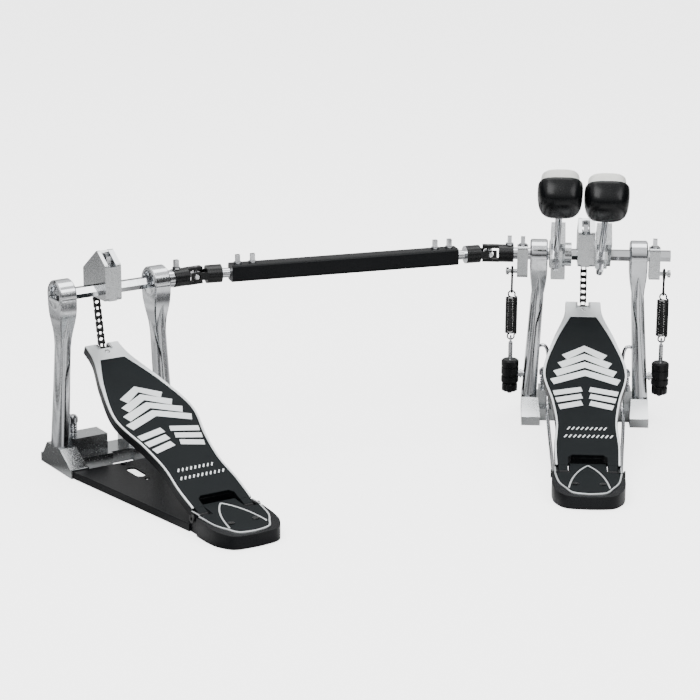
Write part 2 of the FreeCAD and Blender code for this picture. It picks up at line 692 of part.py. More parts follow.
def yoke(direction, upright, hole, bore):
    """Fork of a universal joint about the origin; its body lies towards +X or -X."""
    def reach(low, high):
        faces = (direction * low, direction * high)
        return (min(faces), max(faces))

    body_x = reach(YOKE_FACE, YOKE_BACK)
    body = cylinder(YOKE_RADIUS, (body_x[0], 0, 0), body_x[1] - body_x[0], X_AXIS)
    ears = []
    for sign in (-1, 1):
        outward = tuple(sorted(sign * value for value in EAR_SPAN))
        across = (-3.8, 3.8)
        y_span, z_span = (across, outward) if upright else (outward, across)
        ears.append(box(reach(-EAR_TIP, YOKE_FACE + 0.5), y_span, z_span))
    pin_axis = Z_AXIS if upright else Y_AXIS
    start = (0, 0, -12) if upright else (0, -12, 0)
    pin_hole = cylinder(hole, start, 24, pin_axis)
    bore_x = reach(YOKE_FACE + 2, YOKE_BACK + 1)
    shaft_bore = cylinder(bore, (bore_x[0], 0, 0), bore_x[1] - bore_x[0], X_AXIS)
    return cut(fuse(body, *ears), pin_hole, shaft_bore)


def joint_cross(angle):
    """Cross of a universal joint: upright pin in one yoke, level pin turned to the other shaft."""
    block = box((-3.6, 3.6), (-3.6, 3.6), (-3.6, 3.6))
    upright = cylinder(2.0, (0, 0, -9.0), 18)
    level = cylinder(2.0, (0, -8.8, 0), 17.6, Y_AXIS)
    turned = placed(FreeCAD.Placement(V(), FreeCAD.Rotation(Z_AXIS, angle)), level)
    return fuse(block, upright, turned)


def link_tube():
    """Telescopic tube: a bar of near-square section bored for the two joint rods."""
    half = "TubeHalf"
    bar = box(("TubeStart", "TubeEnd"), (f"-{half}", half), (f"-{half}", half))
    bar = round_edges(bar, 3.0, lambda edge: edge.Length > 100)
    return cut(bar, cylinder("LinkRodRadius + RunGap", (0, 0, 0), "LinkLength", X_AXIS))


# ---------------------------------------------------------------- assembly
def build_pedal(prefix, place, toe_height):
    """The pieces that both pedals have."""
    def add(name, *solids):
        piece(prefix + name, place, *solids)

    add("posts", post(-1), post(1))
    add("bearings", bearing(-1), bearing(1))
    add("spurs", spur(-1), spur(1))
    add("heel_plate", cut(heel_plate(f"{prefix}Heel"), *heel_screws()))
    add("heel_mat", cut(heel_mat(f"{prefix}HeelMat"), *heel_screws()))
    add("heel_fasteners", hinge_pin(), *heel_screws())
    add("cam_hub", cam_hub(f"{prefix}Cam"))
    shaped_piece(prefix + "cam_chain", place, chain_shape(wrapped_pins()))
    board = board_place(toe_height)
    add("footboard", placed(board, footboard(f"{prefix}Board")))
    add("footboard_mat", placed(board, board_mat(f"{prefix}Mat")))
    pins = strand_pins(board.multVec(TOE_PIN_ON_BOARD))
    toe_hole = Part.makeCylinder(TOE_PIN_RADIUS + size("RunGap"), 20, pins[0] - X_AXIS * 10, X_AXIS)
    shaped_piece(prefix + "chain", place, chain_shape(pins).cut(toe_hole))


def radius_rods():
    """Two spring-steel wires from the heel plate, along the floor and up beside the posts."""
    heel = size("HingeY") - 12
    wires = []
    for side in (-1, 1):
        inner = size("PostMid") + side * 40.0
        hook = size("PostMid") + side * 53.0
        points = ((side * 30.0, heel, 8), (side * 33.5, heel + 26, 8), (inner, -60, 12),
                  (inner, -27, 15), (inner, -14, 28), (inner, -3, 72), (hook, 0, 76))
        wires.append(wire_shape(1.9, points))
    return Part.makeCompound(wires)


def hoop_lip():
    return box((-18, 26), (13.5, 50), (0, 9))


CLAMP_X = 4.0
CLAMP_Y = 27.0
JAW_PIVOT_Y = 18.0
JAW_PIVOT_Z = 26.0


def hoop_jaw():
    """Upper jaw of the hoop clamp, hinged at its back end."""
    plate = box((-14, 22), (JAW_PIVOT_Y, 50), (23, 29))
    barrel = cylinder(3.5, (-14, JAW_PIVOT_Y, JAW_PIVOT_Z), 36, X_AXIS)
    bolt_way = cylinder(5.6, (CLAMP_X, CLAMP_Y, 15), 20)
    pivot = cylinder(1.55, (-20, JAW_PIVOT_Y, JAW_PIVOT_Z), 48, X_AXIS)
    return cut(fuse(plate, barrel), bolt_way, pivot)


def jaw_hinge():
    """Ears and pin on the base frame that carry the jaw."""
    ears = [box((x, x + 4), (JAW_PIVOT_Y - 4, JAW_PIVOT_Y + 4), (8, 30)) for x in (-18.5, 22.5)]
    pin = cylinder(1.5, (-18.5, JAW_PIVOT_Y, JAW_PIVOT_Z), 45, X_AXIS)
    return ears + [pin]


def clamp_bolt():
    """Wing bolt of the hoop clamp."""
    shank = cylinder(3, (CLAMP_X, CLAMP_Y, 1), 38)
    head = cylinder(6, (CLAMP_X, CLAMP_Y, 37), 6)
    wing = box((CLAMP_X - 15, CLAMP_X + 15), (CLAMP_Y - 2, CLAMP_Y + 2), (41, 51))
    return fuse(shank, head, wing)


def build_primary_frame():
    bolt_hole = cylinder(3.05, (CLAMP_X, CLAMP_Y, -1), 12)
    frame = fuse(base_frame(), hoop_lip(), *jaw_hinge())
    piece("base_frame", PRIMARY, cut(frame, bolt_hole))
    shaped_piece("radius_rods", PRIMARY, radius_rods())
    piece("hoop_jaw", PRIMARY, hoop_jaw())
    piece("clamp_bolt", PRIMARY, clamp_bolt())


def build_primary_rocker():
    shaft = hexagon("ShaftFlats", (-14, 0, "ShaftHeight"), 105, X_AXIS)
    journal = cylinder(4, (-36, 0, "ShaftHeight"), 22.5, X_AXIS)
    piece("hex_shaft", PRIMARY, fuse(shaft, journal))
    piece("beater_clamp", PRIMARY, beater_clamp())
    piece("spring_arm_right", PRIMARY, spring_arm(1, True))
    lean_bolt = placed(LEAN, key_bolt(size("BeaterRightX"), -21.5, 22, -Y_AXIS))
    arm_x = size("PostMid") + size("ArmInner") + size("ArmWidth") / 2
    seat_z = size("ShaftHeight")
    seat_bolt = key_bolt(0, -5, seat_z + HUB_SEAT)
    piece("rocker_bolts", PRIMARY, seat_bolt, lean_bolt, key_bolt(arm_x, 0, seat_z + 9))
    beater("right", "BeaterRightX", -14, "RightReach")


def build_secondary_rocker():
    joint = -size("JointReach")
    start = joint + YOKE_FACE + 2.5
    sleeve = cylinder(SHAFT_CORNER, (start, 0, "ShaftHeight"), -38.5 - start, X_AXIS)
    piece("sleeve_shaft", PRIMARY, sleeve)
    piece("secondary_hub", PRIMARY, secondary_hub())
    piece("spring_arm_left", PRIMARY, spring_arm(-1, False))
    beater("left", "BeaterLeftX", -24, "LeftReach")
    lean_bolt = placed(LEAN, key_bolt(size("BeaterLeftX"), -21.5, 22, -Y_AXIS))
    arm_x = size("PostMid") - size("ArmInner") - size("ArmWidth") / 2
    seat_z = size("ShaftHeight")
    yoke_bolt = key_bolt(joint + 22.5, 0, seat_z + YOKE_RADIUS)
    piece("secondary_bolts", PRIMARY, lean_bolt, key_bolt(arm_x, 0, seat_z + 9), yoke_bolt)
    at_joint = FreeCAD.Placement(PRIMARY_JOINT, FreeCAD.Rotation())
    piece("joint_yoke_right", at_joint, yoke(1, True, 2.0, SHAFT_CORNER))
    piece("joint_cross_right", at_joint, joint_cross(size("LinkAngle")))


def build_springs():
    rods, holders = [], []
    for side, name in ((-1, "left"), (1, "right")):
        x = spring_set(side, name)
        rods.append(tension_rod(x))
        holders.append(tension_holder(side, x))
        piece(f"tension_knob_{name}", PRIMARY, tension_knob(x))
    piece("tension_rods", PRIMARY, *rods)
    piece("tension_holders", PRIMARY, *holders)


def build_link():
    piece("link_tube", LINK, link_tube())
    far_joint = FreeCAD.Placement(V(size("LinkLength"), 0, 0), FreeCAD.Rotation())
    right_yoke = placed(far_joint, yoke(-1, False, 3.4, "LinkRodRadius"))
    right_rod = cylinder("LinkRodRadius", (200, 0, 0), f"LinkLength - 200 - {YOKE_FACE + 2.5}", X_AXIS)
    piece("link_rod_right", LINK, fuse(right_yoke, right_rod))
    left_rod = cylinder("LinkRodRadius", (YOKE_FACE + 2.5, 0, 0), 130, X_AXIS)
    piece("link_rod_left", LINK, fuse(yoke(1, False, 3.4, "LinkRodRadius"), left_rod))
    seat = size("TubeHalf")
    ends = (size("TubeStart") + 8, size("TubeStart") + 24, size("TubeEnd") - 24, size("TubeEnd") - 8)
    piece("link_bolts", LINK, *[key_bolt(x, 0, seat) for x in ends])


SLOT_X = -9.0


def base_plate():
    """Tapering floor plate of the slave pedal, with one long round-ended slot."""
    front, back = -40.5, LUG_FRONT
    mid = size("PostMid")
    wide, narrow = 66.0, size("HeelHalfWidth")
    outline = ((mid - wide, front), (-narrow, back), (narrow, back), (mid + wide, front))
    plate = pad_body("BasePlate", polygon_edges(outline), 8)
    slot = fuse(box((SLOT_X - 5, SLOT_X + 5), (-84, -65), (-1, 10)),
                cylinder(5, (SLOT_X, -84, -1), 11), cylinder(5, (SLOT_X, -65, -1), 11))
    holes = [cylinder(2.6, (SLOT_X, y, -1), 11) for y in (-47, -98)]
    return cut(plate, slot, *holes)


def build_slave():
    piece("slave_base_frame", SLAVE, base_frame())
    piece("slave_base_plate", SLAVE, base_plate())
    stub_end = size("PostMid") + size("PostSpread") + size("RingWidth") / 2
    yoke_start = size("JointReach") - YOKE_FACE - 2.5
    left_end = size("PostMid") - size("PostSpread") - size("BearingWidth") / 2
    shaft = hexagon("ShaftFlats", (left_end, 0, "ShaftHeight"), yoke_start - left_end, X_AXIS)
    collar = cylinder(9, (stub_end + 0.6, 0, "ShaftHeight"), 8, X_AXIS)
    piece("slave_shaft", SLAVE, fuse(shaft, collar))
    at_joint = FreeCAD.Placement(V(size("JointReach"), 0, size("ShaftHeight")), FreeCAD.Rotation())
    piece("joint_yoke_left", SLAVE * at_joint, placed(FreeCAD.Placement(), yoke(-1, True, 2.0, SHAFT_CORNER)))
    cross_turn = size("LinkAngle") - size("SlaveYaw")
    piece("joint_cross_left", SLAVE * at_joint, joint_cross(cross_turn))
    seat_z = size("ShaftHeight")
    yoke_bolt = key_bolt(size("JointReach") - 22.5, 0, seat_z + YOKE_RADIUS)
    piece("slave_rocker_bolts", SLAVE, key_bolt(0, -5, seat_z + HUB_SEAT), yoke_bolt)


build_primary_frame()
build_pedal("", PRIMARY, "ToeZ")
build_primary_rocker()
build_secondary_rocker()
build_springs()
build_link()
build_pedal("slave_", SLAVE, "SlaveToeZ")
build_slave()
DOC.recompute()

# ---------------------------------------------------------------- checks and export
for item in DOC.Objects:
    if "Invalid" in item.State or "Error" in item.State:
        raise RuntimeError(f"{item.Name} ({item.TypeId}) failed: {item.State}")
os.makedirs("parts", exist_ok=True)
for whole in PIECES:
    if whole.Shape.isNull() or not whole.Shape.isValid() or not whole.Shape.Solids:
        raise RuntimeError(f"{whole.Label} has no valid shape")
for whole in PIECES:
    whole.Shape.exportStep(f"parts/{whole.Label}.step")
print(f"{len(PIECES)} pieces written")
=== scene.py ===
"""Looks of the double bass drum pedal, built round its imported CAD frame.

Everything is in metres. Each pedal is drawn in its own frame, as the CAD is: the rocker shaft runs
along X above the origin, the heel lies towards -Y and the floor is at z = 0.
"""
import json
import math

import bmesh
import bpy
from mathutils import Matrix, Vector, noise


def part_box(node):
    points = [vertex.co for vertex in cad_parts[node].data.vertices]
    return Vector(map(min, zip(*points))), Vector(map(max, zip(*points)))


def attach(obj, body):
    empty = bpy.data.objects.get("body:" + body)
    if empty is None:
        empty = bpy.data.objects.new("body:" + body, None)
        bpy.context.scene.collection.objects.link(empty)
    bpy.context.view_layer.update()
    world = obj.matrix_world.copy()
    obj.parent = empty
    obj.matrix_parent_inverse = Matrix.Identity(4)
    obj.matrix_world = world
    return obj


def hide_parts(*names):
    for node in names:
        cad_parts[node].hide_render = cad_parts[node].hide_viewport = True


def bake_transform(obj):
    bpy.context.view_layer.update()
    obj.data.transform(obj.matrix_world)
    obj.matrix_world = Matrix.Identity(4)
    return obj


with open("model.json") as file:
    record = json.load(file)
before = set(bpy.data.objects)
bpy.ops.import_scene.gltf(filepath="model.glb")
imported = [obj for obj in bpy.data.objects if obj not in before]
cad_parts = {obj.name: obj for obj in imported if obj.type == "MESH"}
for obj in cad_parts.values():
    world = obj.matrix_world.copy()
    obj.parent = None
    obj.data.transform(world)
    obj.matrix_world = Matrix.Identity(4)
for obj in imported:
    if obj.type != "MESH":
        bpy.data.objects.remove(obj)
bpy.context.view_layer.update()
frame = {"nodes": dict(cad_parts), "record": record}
MM = 0.001
JOINTS = {joint["name"]: joint for joint in frame["record"]["behaviour"]["joints"]}


def joint_point(name):
    return Vector(JOINTS[name]["pos_m"])


def joint_heading(name):
    """Yaw of the line that a shaft joint turns about, whose axis points to the line's back end."""
    axis = JOINTS[name]["axis"]
    return math.atan2(-axis[1], -axis[0])


PIN_RISE = 1.0 * MM                     # toe pin above the middle of the board's thickness


class Pedal:
    """One pedal: its place in the row frame and the names of its moving bodies."""

    def __init__(self, prefix, frame_body):
        self.prefix = prefix
        self.frame = frame_body
        self.rocker = prefix + "rocker"
        self.board = prefix + "board"
        self.chain = prefix + "chain"
        turn = prefix + "rocker_turn"
        point = joint_point(turn)
        point.z = 0
        self.matrix = Matrix.Translation(point) @ Matrix.Rotation(joint_heading(turn), 4, "Z")
        hinge = self.inside("board_tilt")
        self.toe_pin = self.inside("chain_swing")
        run = self.toe_pin - hinge
        self.pin_run = math.sqrt(run.length ** 2 - PIN_RISE ** 2)
        slope = math.atan2(run.z, run.y) - math.asin(PIN_RISE / run.length)
        self.board_frame = self.matrix @ Matrix.Translation(hinge) @ Matrix.Rotation(slope, 4, "X")

    def inside(self, joint):
        """A joint's point in the pedal's own frame."""
        return self.matrix.inverted() @ joint_point(self.prefix + joint)


PRIMARY = Pedal("", "frame")
SLAVE = Pedal("slave_", "slave_frame")
PEDALS = (PRIMARY, SLAVE)

SHAFT = joint_point("rocker_turn")
HINGE = joint_point("board_tilt")
ROD_AXIS = Vector(JOINTS["beater_right_height"]["axis"])
LEAN_FRAME = Matrix.Translation(SHAFT) @ Matrix.Rotation(math.atan2(-ROD_AXIS.y, ROD_AXIS.z), 4, "X")


# ---------------------------------------------------------------- materials
class Graph:
    """A material's node tree with short ways to add and wire nodes."""

    def __init__(self, name):
        self.material = bpy.data.materials.new(name)
        self.material.use_nodes = True
        self.tree = self.material.node_tree
        self.shader = self.tree.nodes["Principled BSDF"]
        self.coords = self.add("ShaderNodeTexCoord").outputs["Object"]

    def add(self, kind, **values):
        node = self.tree.nodes.new(kind)
        for key, value in values.items():
            if key in node.inputs:
                node.inputs[key].default_value = value
            else:
                setattr(node, key, value)
        return node

    def wire(self, source, target):
        self.tree.links.new(source, target)

    def noise(self, scale, detail=3.0, stretch=(1, 1, 1)):
        mapping = self.add("ShaderNodeMapping")
        mapping.inputs["Scale"].default_value = stretch
        self.wire(self.coords, mapping.inputs["Vector"])
        texture = self.add("ShaderNodeTexNoise")
        texture.inputs["Scale"].default_value = scale
        texture.inputs["Detail"].default_value = detail
        self.wire(mapping.outputs["Vector"], texture.inputs["Vector"])
        return texture.outputs["Fac"]

    def span(self, source, low, high, start=0.3, end=0.7):
        """Map a value onto a range."""
        node = self.add("ShaderNodeMapRange")
        for key, value in (("From Min", start), ("From Max", end), ("To Min", low), ("To Max", high)):
            node.inputs[key].default_value = value
        self.wire(source, node.inputs["Value"])
        return node.outputs["Result"]

    def mix(self, factor, first, second):
        """Colour between two colours; either may be a socket."""
        node = self.add("ShaderNodeMix", data_type="RGBA")
        self.wire(factor, node.inputs["Factor"])
        for socket, value in (("A", first), ("B", second)):
            target = [item for item in node.inputs if item.name == socket and item.type == "RGBA"][0]
            if isinstance(value, bpy.types.NodeSocket):
                self.wire(value, target)
            else:
                target.default_value = (*value, 1)
        return [item for item in node.outputs if item.type == "RGBA"][0]

    def bump(self, height, strength, distance):
        node = self.add("ShaderNodeBump", Strength=strength, Distance=distance)
        self.wire(height, node.inputs["Height"])
        self.wire(node.outputs["Normal"], self.shader.inputs["Normal"])

    def edge_mask(self, radius, start=0.02, end=0.2):
        """Near 1 on sharp edges, 0 on flats."""
        bevel = self.add("ShaderNodeBevel", samples=4)
        bevel.inputs["Radius"].default_value = radius
        geometry = self.add("ShaderNodeNewGeometry")
        dot = self.add("ShaderNodeVectorMath", operation="DOT_PRODUCT")
        self.wire(bevel.outputs["Normal"], dot.inputs[0])
        self.wire(geometry.outputs["Normal"], dot.inputs[1])
        return self.span(dot.outputs["Value"], 1.0, 0.0, 1.0 - end, 1.0 - start)


def set_shader(graph, **values):
    names = {"metallic": "Metallic", "coat": "Coat Weight", "coat_rough": "Coat Roughness",
             "sheen": "Sheen Weight", "sheen_rough": "Sheen Roughness", "aniso": "Anisotropic",
             "specular": "Specular IOR Level", "rough": "Roughness"}
    for key, value in values.items():
        graph.shader.inputs[names[key]].default_value = value


def metal(name, dark, light, rough, grain, bump_mm, stretch=(1, 1, 1), blotch=18.0):
    """Bare metal: cloudy tone, varying roughness, fine surface grain."""
    graph = Graph(name)
    cloud = graph.noise(blotch, 4.0)
    graph.wire(graph.mix(cloud, dark, light), graph.shader.inputs["Base Color"])
    fine = graph.noise(grain, 5.0, stretch)
    graph.wire(graph.span(fine, rough[0], rough[1]), graph.shader.inputs["Roughness"])
    graph.bump(fine, 0.25, bump_mm * MM)
    set_shader(graph, metallic=1.0)
    return graph.material


def coated(name, base, worn, rough, grain, bump_mm, wear=0.5, coat=0.0, metallic=0.0, specular=0.5):
    """Paint, plastic or rubber with fine grain, faint cloudiness and rubbed edges."""
    graph = Graph(name)
    cloud = graph.span(graph.noise(35.0, 3.0), 0.0, 0.35)
    lighter = tuple(channel * 1.5 + 0.001 for channel in base)
    body = graph.mix(cloud, base, lighter)
    scuffs = graph.span(graph.noise(160.0, 4.0), 0.0, wear, 0.45, 0.7)
    edge = graph.add("ShaderNodeMath", operation="MULTIPLY")
    graph.wire(graph.edge_mask(0.8 * MM), edge.inputs[0])
    graph.wire(scuffs, edge.inputs[1])
    graph.wire(graph.mix(edge.outputs["Value"], body, worn), graph.shader.inputs["Base Color"])
    fine = graph.noise(grain, 3.0)
    graph.wire(graph.span(fine, rough[0], rough[1]), graph.shader.inputs["Roughness"])
    graph.bump(fine, 0.35, bump_mm * MM)
    set_shader(graph, coat=coat, coat_rough=0.25, metallic=metallic, specular=specular)
    return graph.material


def felt_material():
    """Pressed felt: matted fibres, faint yellowing, soft sheen."""
    graph = Graph("felt")
    fibre = graph.noise(900.0, 6.0, (1, 1, 0.35))
    matted = graph.noise(120.0, 5.0)
    tone = graph.mix(graph.span(matted, 0.0, 1.0), (0.80, 0.81, 0.75), (0.90, 0.91, 0.87))
    graph.wire(graph.mix(graph.span(fibre, 0.0, 0.5), tone, (0.96, 0.96, 0.93)),
               graph.shader.inputs["Base Color"])
    graph.bump(fibre, 0.8, 0.5 * MM)
    set_shader(graph, rough=0.95, sheen=0.6, sheen_rough=0.5)
    return graph.material


MATERIALS = {
    "polished_cast": metal("polished_cast", (0.50, 0.52, 0.54), (0.80, 0.81, 0.83), (0.08, 0.20), 420.0,
                           0.015),
    "hub_cast": metal("hub_cast", (0.46, 0.48, 0.49), (0.70, 0.71, 0.72), (0.16, 0.30), 500.0, 0.004),
    "satin_cast": metal("satin_cast", (0.58, 0.60, 0.61), (0.80, 0.82, 0.83), (0.18, 0.28), 600.0, 0.004),
    "chrome_steel": metal("chrome_steel", (0.55, 0.56, 0.58), (0.82, 0.83, 0.85), (0.05, 0.14), 500.0, 0.01,
                          (1, 1, 0.2)),
    "bright_link": metal("bright_link", (0.55, 0.56, 0.57), (0.78, 0.79, 0.80), (0.16, 0.3), 900.0, 0.02),
    "silver_rim": metal("silver_rim", (0.74, 0.77, 0.78), (0.88, 0.90, 0.91), (0.40, 0.52), 1500.0, 0.05),
    "black_metal": coated("black_metal", (0.0035, 0.004, 0.005), (0.05, 0.055, 0.06), (0.24, 0.36), 1400.0,
                          0.05, wear=0.35, specular=0.16),
    "black_oxide": coated("black_oxide", (0.004, 0.0045, 0.005), (0.10, 0.10, 0.11), (0.22, 0.38), 900.0,
                          0.03, wear=0.8, metallic=0.3),
    "black_plastic": coated("black_plastic", (0.003, 0.0035, 0.004), (0.012, 0.012, 0.014), (0.20, 0.30),
                            1100.0, 0.03, wear=0.3, specular=0.22),
    "rubber_mat": coated("rubber_mat", (0.007, 0.009, 0.010), (0.02, 0.022, 0.025), (0.55, 0.70), 2200.0,
                         0.12, wear=0.3, specular=0.10),
    "felt": felt_material(),
}


# ---------------------------------------------------------------- mesh building
def finish_mesh(name, mesh, matrix, material, body, soften=0.0, smooth_angle=35.0, node=None):
    """Put a bmesh into the scene as a riding piece; node is the CAD node whose place it takes."""
    bmesh.ops.transform(mesh, matrix=matrix, verts=mesh.verts)
    bmesh.ops.recalc_face_normals(mesh, faces=mesh.faces)
    data = bpy.data.meshes.new(name)
    mesh.to_mesh(data)
    mesh.free()
    piece = bpy.data.objects.new(name, data)
    bpy.context.scene.collection.objects.link(piece)
    data.materials.append(MATERIALS[material])
    round_off(piece, soften, smooth_angle)
    if body:
        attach(piece, body)
    if node:
        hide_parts(node)
    return piece


def round_off(piece, width, smooth_angle=35.0, segments=2):
    """Shade smooth between soft edges and round the sharp ones."""
    if width:
        bevel = piece.modifiers.new("Rounding", "BEVEL")
        bevel.width = width
        bevel.segments = segments
        bevel.limit_method = "ANGLE"
        bevel.angle_limit = math.radians(40)
        bevel.harden_normals = False
    piece.data.shade_smooth()
    piece.data.set_sharp_from_angle(angle=math.radians(smooth_angle))


def prism(mesh, loops, low, high):
    """Add an upright prism over the first loop with the others as holes; low and high give z at (x, y)."""
    edges = []
    for loop in loops:
        ring = [mesh.verts.new((x, y, low(x, y))) for x, y in loop]
        edges += [mesh.edges.new((a, b)) for a, b in zip(ring, ring[1:] + ring[:1])]
    filled = bmesh.ops.triangle_fill(mesh, use_beauty=True, use_dissolve=False, edges=edges)
    faces = [item for item in filled["geom"] if isinstance(item, bmesh.types.BMFace)]
    raised = bmesh.ops.extrude_face_region(mesh, geom=faces)
    for item in raised["geom"]:
        if isinstance(item, bmesh.types.BMVert):
            item.co.z = high(item.co.x, item.co.y)


def flat(z):
    return lambda x, y: z


def loft(mesh, rings, closed=False, capped=True):
    """Skin a list of rings of points; a closed loft joins the last ring to the first."""
    layers = [[mesh.verts.new(point) for point in ring] for ring in rings]
    pairs = list(zip(layers, layers[1:]))
    if closed:
        pairs.append((layers[-1], layers[0]))
    for first, second in pairs:
        count = len(first)
        for n in range(count):
            m = (n + 1) % count
            mesh.faces.new((first[n], first[m], second[m], second[n]))
    if capped and not closed:
        mesh.faces.new(layers[0][::-1])
        mesh.faces.new(layers[-1])


def lathe(mesh, profile, matrix, steps=48):
    """Revolve closed (radius, height) points about the local Z axis."""
    rings = []
    for n in range(steps):
        angle = 2 * math.pi * n / steps
        c, s = math.cos(angle), math.sin(angle)
        rings.append([matrix @ Vector((r * c, r * s, h)) for r, h in profile])
    loft(mesh, rings, closed=True)


def solid_lathe(mesh, profile, matrix, steps=48):
    """Revolve an open profile whose two ends are closed with discs."""
    rings = []
    for r, h in profile:
        ring = []
        for n in range(steps):
            angle = 2 * math.pi * n / steps
            ring.append(matrix @ Vector((r * math.cos(angle), r * math.sin(angle), h)))
        rings.append(ring)
    loft(mesh, rings)


def sweep(mesh, path, radius, sides=10, flatten=1.0, closed=False):
    """A round wire along a path; flatten squeezes it along the path's own up direction."""
    count = len(path)
    tangents = []
    for n in range(count):
        before = path[n - 1] if (n or closed) else path[n]
        after = path[(n + 1) % count] if (n < count - 1 or closed) else path[n]
        tangents.append((after - before).normalized())
    normal = tangents[0].orthogonal().normalized()
    rings = []
    for point, tangent in zip(path, tangents):
        normal = (normal - tangent * normal.dot(tangent)).normalized()
        side = tangent.cross(normal)
        ring = []
        for k in range(sides):
            angle = 2 * math.pi * k / sides
            wide, thin = radius * math.cos(angle), radius * flatten * math.sin(angle)
            ring.append(point + normal * wide + side * thin)
        rings.append(ring)
    loft(mesh, rings, closed=closed)


def along(start, direction):
    """Matrix whose local Z runs along a direction from a point."""
    turn = Vector((0, 0, 1)).rotation_difference(Vector(direction)).to_matrix().to_4x4()
    return Matrix.Translation(Vector(start)) @ turn


def spline(points, per_span=8, closed=False):
    """Catmull-Rom curve through the points."""
    count = len(points)
    vectors = [Vector(point) for point in points]

    def at(n):
        return vectors[n % count] if closed else vectors[max(0, min(count - 1, n))]

    curve = []
    for n in range(count if closed else count - 1):
        p0, p1, p2, p3 = at(n - 1), at(n), at(n + 1), at(n + 2)
        for k in range(per_span):
            t = k / per_span
            curve.append(0.5 * ((2 * p1) + (p2 - p0) * t + (2 * p0 - 5 * p1 + 4 * p2 - p3) * t * t
                                + (3 * p1 - p0 - 3 * p2 + p3) * t ** 3))
    if not closed:
        curve.append(vectors[-1])
    return curve


def rounded_path(points, radius, steps=6):
    """Straight runs with each corner replaced by a smooth bend."""
    corners = [Vector(point) for point in points]
    path = [corners[0]]
    for before, corner, after in zip(corners, corners[1:], corners[2:]):
        reach_in = min(radius, (before - corner).length * 0.48)
        reach_out = min(radius, (after - corner).length * 0.48)
        start = corner + (before - corner).normalized() * reach_in
        end = corner + (after - corner).normalized() * reach_out
        for n in range(steps + 1):
            t = n / steps
            path.append(start * (1 - t) ** 2 + corner * 2 * t * (1 - t) + end * t * t)
    path.append(corners[-1])
    return path


# ---------------------------------------------------------------- posts, bearings, base
def pedal_box(node):
    """A CAD box of the primary pedal; its own frame is the row frame."""
    low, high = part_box(node)
    return Vector(low), Vector(high)


BEARING_LOW, BEARING_HIGH = pedal_box("bearings")
POST_HIGH = pedal_box("posts")[1]
BEARING_HALF = 4.5 * MM
RING_HALF = 9.25 * MM
RING_RADIUS = POST_HIGH.z - SHAFT.z
BORE_RADIUS = BEARING_HIGH.z - SHAFT.z
POST_X = (BEARING_LOW.x + BEARING_HALF, BEARING_HIGH.x - BEARING_HALF)
POST_MID = sum(POST_X) / 2
POST_SPLAY = 7.0 * MM
SPLAY_TOP, SPLAY_FOOT = 146.0, 24.0
BLADE_SECTIONS = (         # height, half width, half depth of the flat blade under the ring
    (177.0, 9.2, 15.9), (168.0, 9.2, 15.6), (160.0, 9.0, 14.2), (152.0, 8.3, 11.9), (144.0, 7.2, 9.7),
    (136.0, 6.2, 8.6), (120.0, 5.4, 7.6))
COLUMN_SECTIONS = (        # the round leg, which grows out of the blade's faces
    (163.0, 0.6, 14.3), (157.0, 2.6, 14.0), (150.0, 4.7, 12.4), (142.0, 6.3, 11.0), (132.0, 7.0, 10.3),
    (110.0, 7.2, 10.2), (84.0, 7.5, 10.4), (56.0, 7.9, 10.8), (23.0, 8.5, 11.4))
BLADE_OUTLINE = ((1, -0.9), (1, 0.9), (0.86, 1), (-0.86, 1), (-1, 0.9), (-1, -0.9), (-0.86, -1), (0.86, -1))


def oval_outline(power, steps):
    """Points round a soft-cornered square that reaches 1 on each side."""
    outline = []
    for n in range(steps):
        angle = 2 * math.pi * n / steps
        c, s = math.cos(angle), math.sin(angle)
        reach = (abs(c) ** power + abs(s) ** power) ** (-1 / power)
        outline.append((reach * c, reach * s))
    return outline


def post_rings(sections, outline, x, side):
    """Sections of a post, leaning outwards towards the floor."""
    rings = []
    for z, half_x, half_y in sections:
        drop = max(0.0, min(1.0, (SPLAY_TOP - z) / (SPLAY_TOP - SPLAY_FOOT)))
        centre = x + side * POST_SPLAY * drop
        rings.append([Vector((centre + half_x * a * MM, half_y * b * MM, z * MM)) for a, b in outline])
    return rings


def ring_profile(outer, bore, half, chamfer):
    return ((bore, -half + chamfer), (bore + chamfer, -half),
            (outer - chamfer, -half), (outer, -half + chamfer),
            (outer, half - chamfer), (outer - chamfer, half),
            (bore + chamfer, half), (bore, half - chamfer))


def make_posts(pedal):
    mesh = bmesh.new()
    for x in POST_X:
        side = math.copysign(1, x - POST_MID)
        eye = Matrix.Translation((x, 0, SHAFT.z)) @ Matrix.Rotation(math.pi / 2, 4, "Y")
        lathe(mesh, ring_profile(RING_RADIUS, BORE_RADIUS, RING_HALF, 1.4 * MM), eye, 64)
        loft(mesh, post_rings(BLADE_SECTIONS, BLADE_OUTLINE, x, side))
        loft(mesh, post_rings(COLUMN_SECTIONS, oval_outline(2.5, 24), x, side))
    name = pedal.prefix + "posts"
    finish_mesh(name + "_cast", mesh, pedal.matrix, "polished_cast", pedal.frame, 0.9 * MM, 28,
                node=name)


def make_bearings(pedal):
    """Outer race, shield and inner race of each bearing."""
    inner = 6.4 * MM
    races = bmesh.new()
    shields = bmesh.new()
    for x in POST_X:
        eye = Matrix.Translation((x, 0, SHAFT.z)) @ Matrix.Rotation(math.pi / 2, 4, "Y")
        lathe(races, ring_profile(BORE_RADIUS, BORE_RADIUS - 1.5 * MM, BEARING_HALF, 0.3 * MM), eye)
        lathe(races, ring_profile(inner + 1.3 * MM, inner, BEARING_HALF, 0.25 * MM), eye)
        shield = ring_profile(BORE_RADIUS - 1.5 * MM, inner + 1.3 * MM, BEARING_HALF - 0.7 * MM, 0.2 * MM)
        lathe(shields, shield, eye)
    name = pedal.prefix + "bearings"
    finish_mesh(name + "_races", races, pedal.matrix, "bright_link", pedal.frame,
                node=name)
    finish_mesh(name + "_shields", shields, pedal.matrix, "black_oxide", pedal.frame)


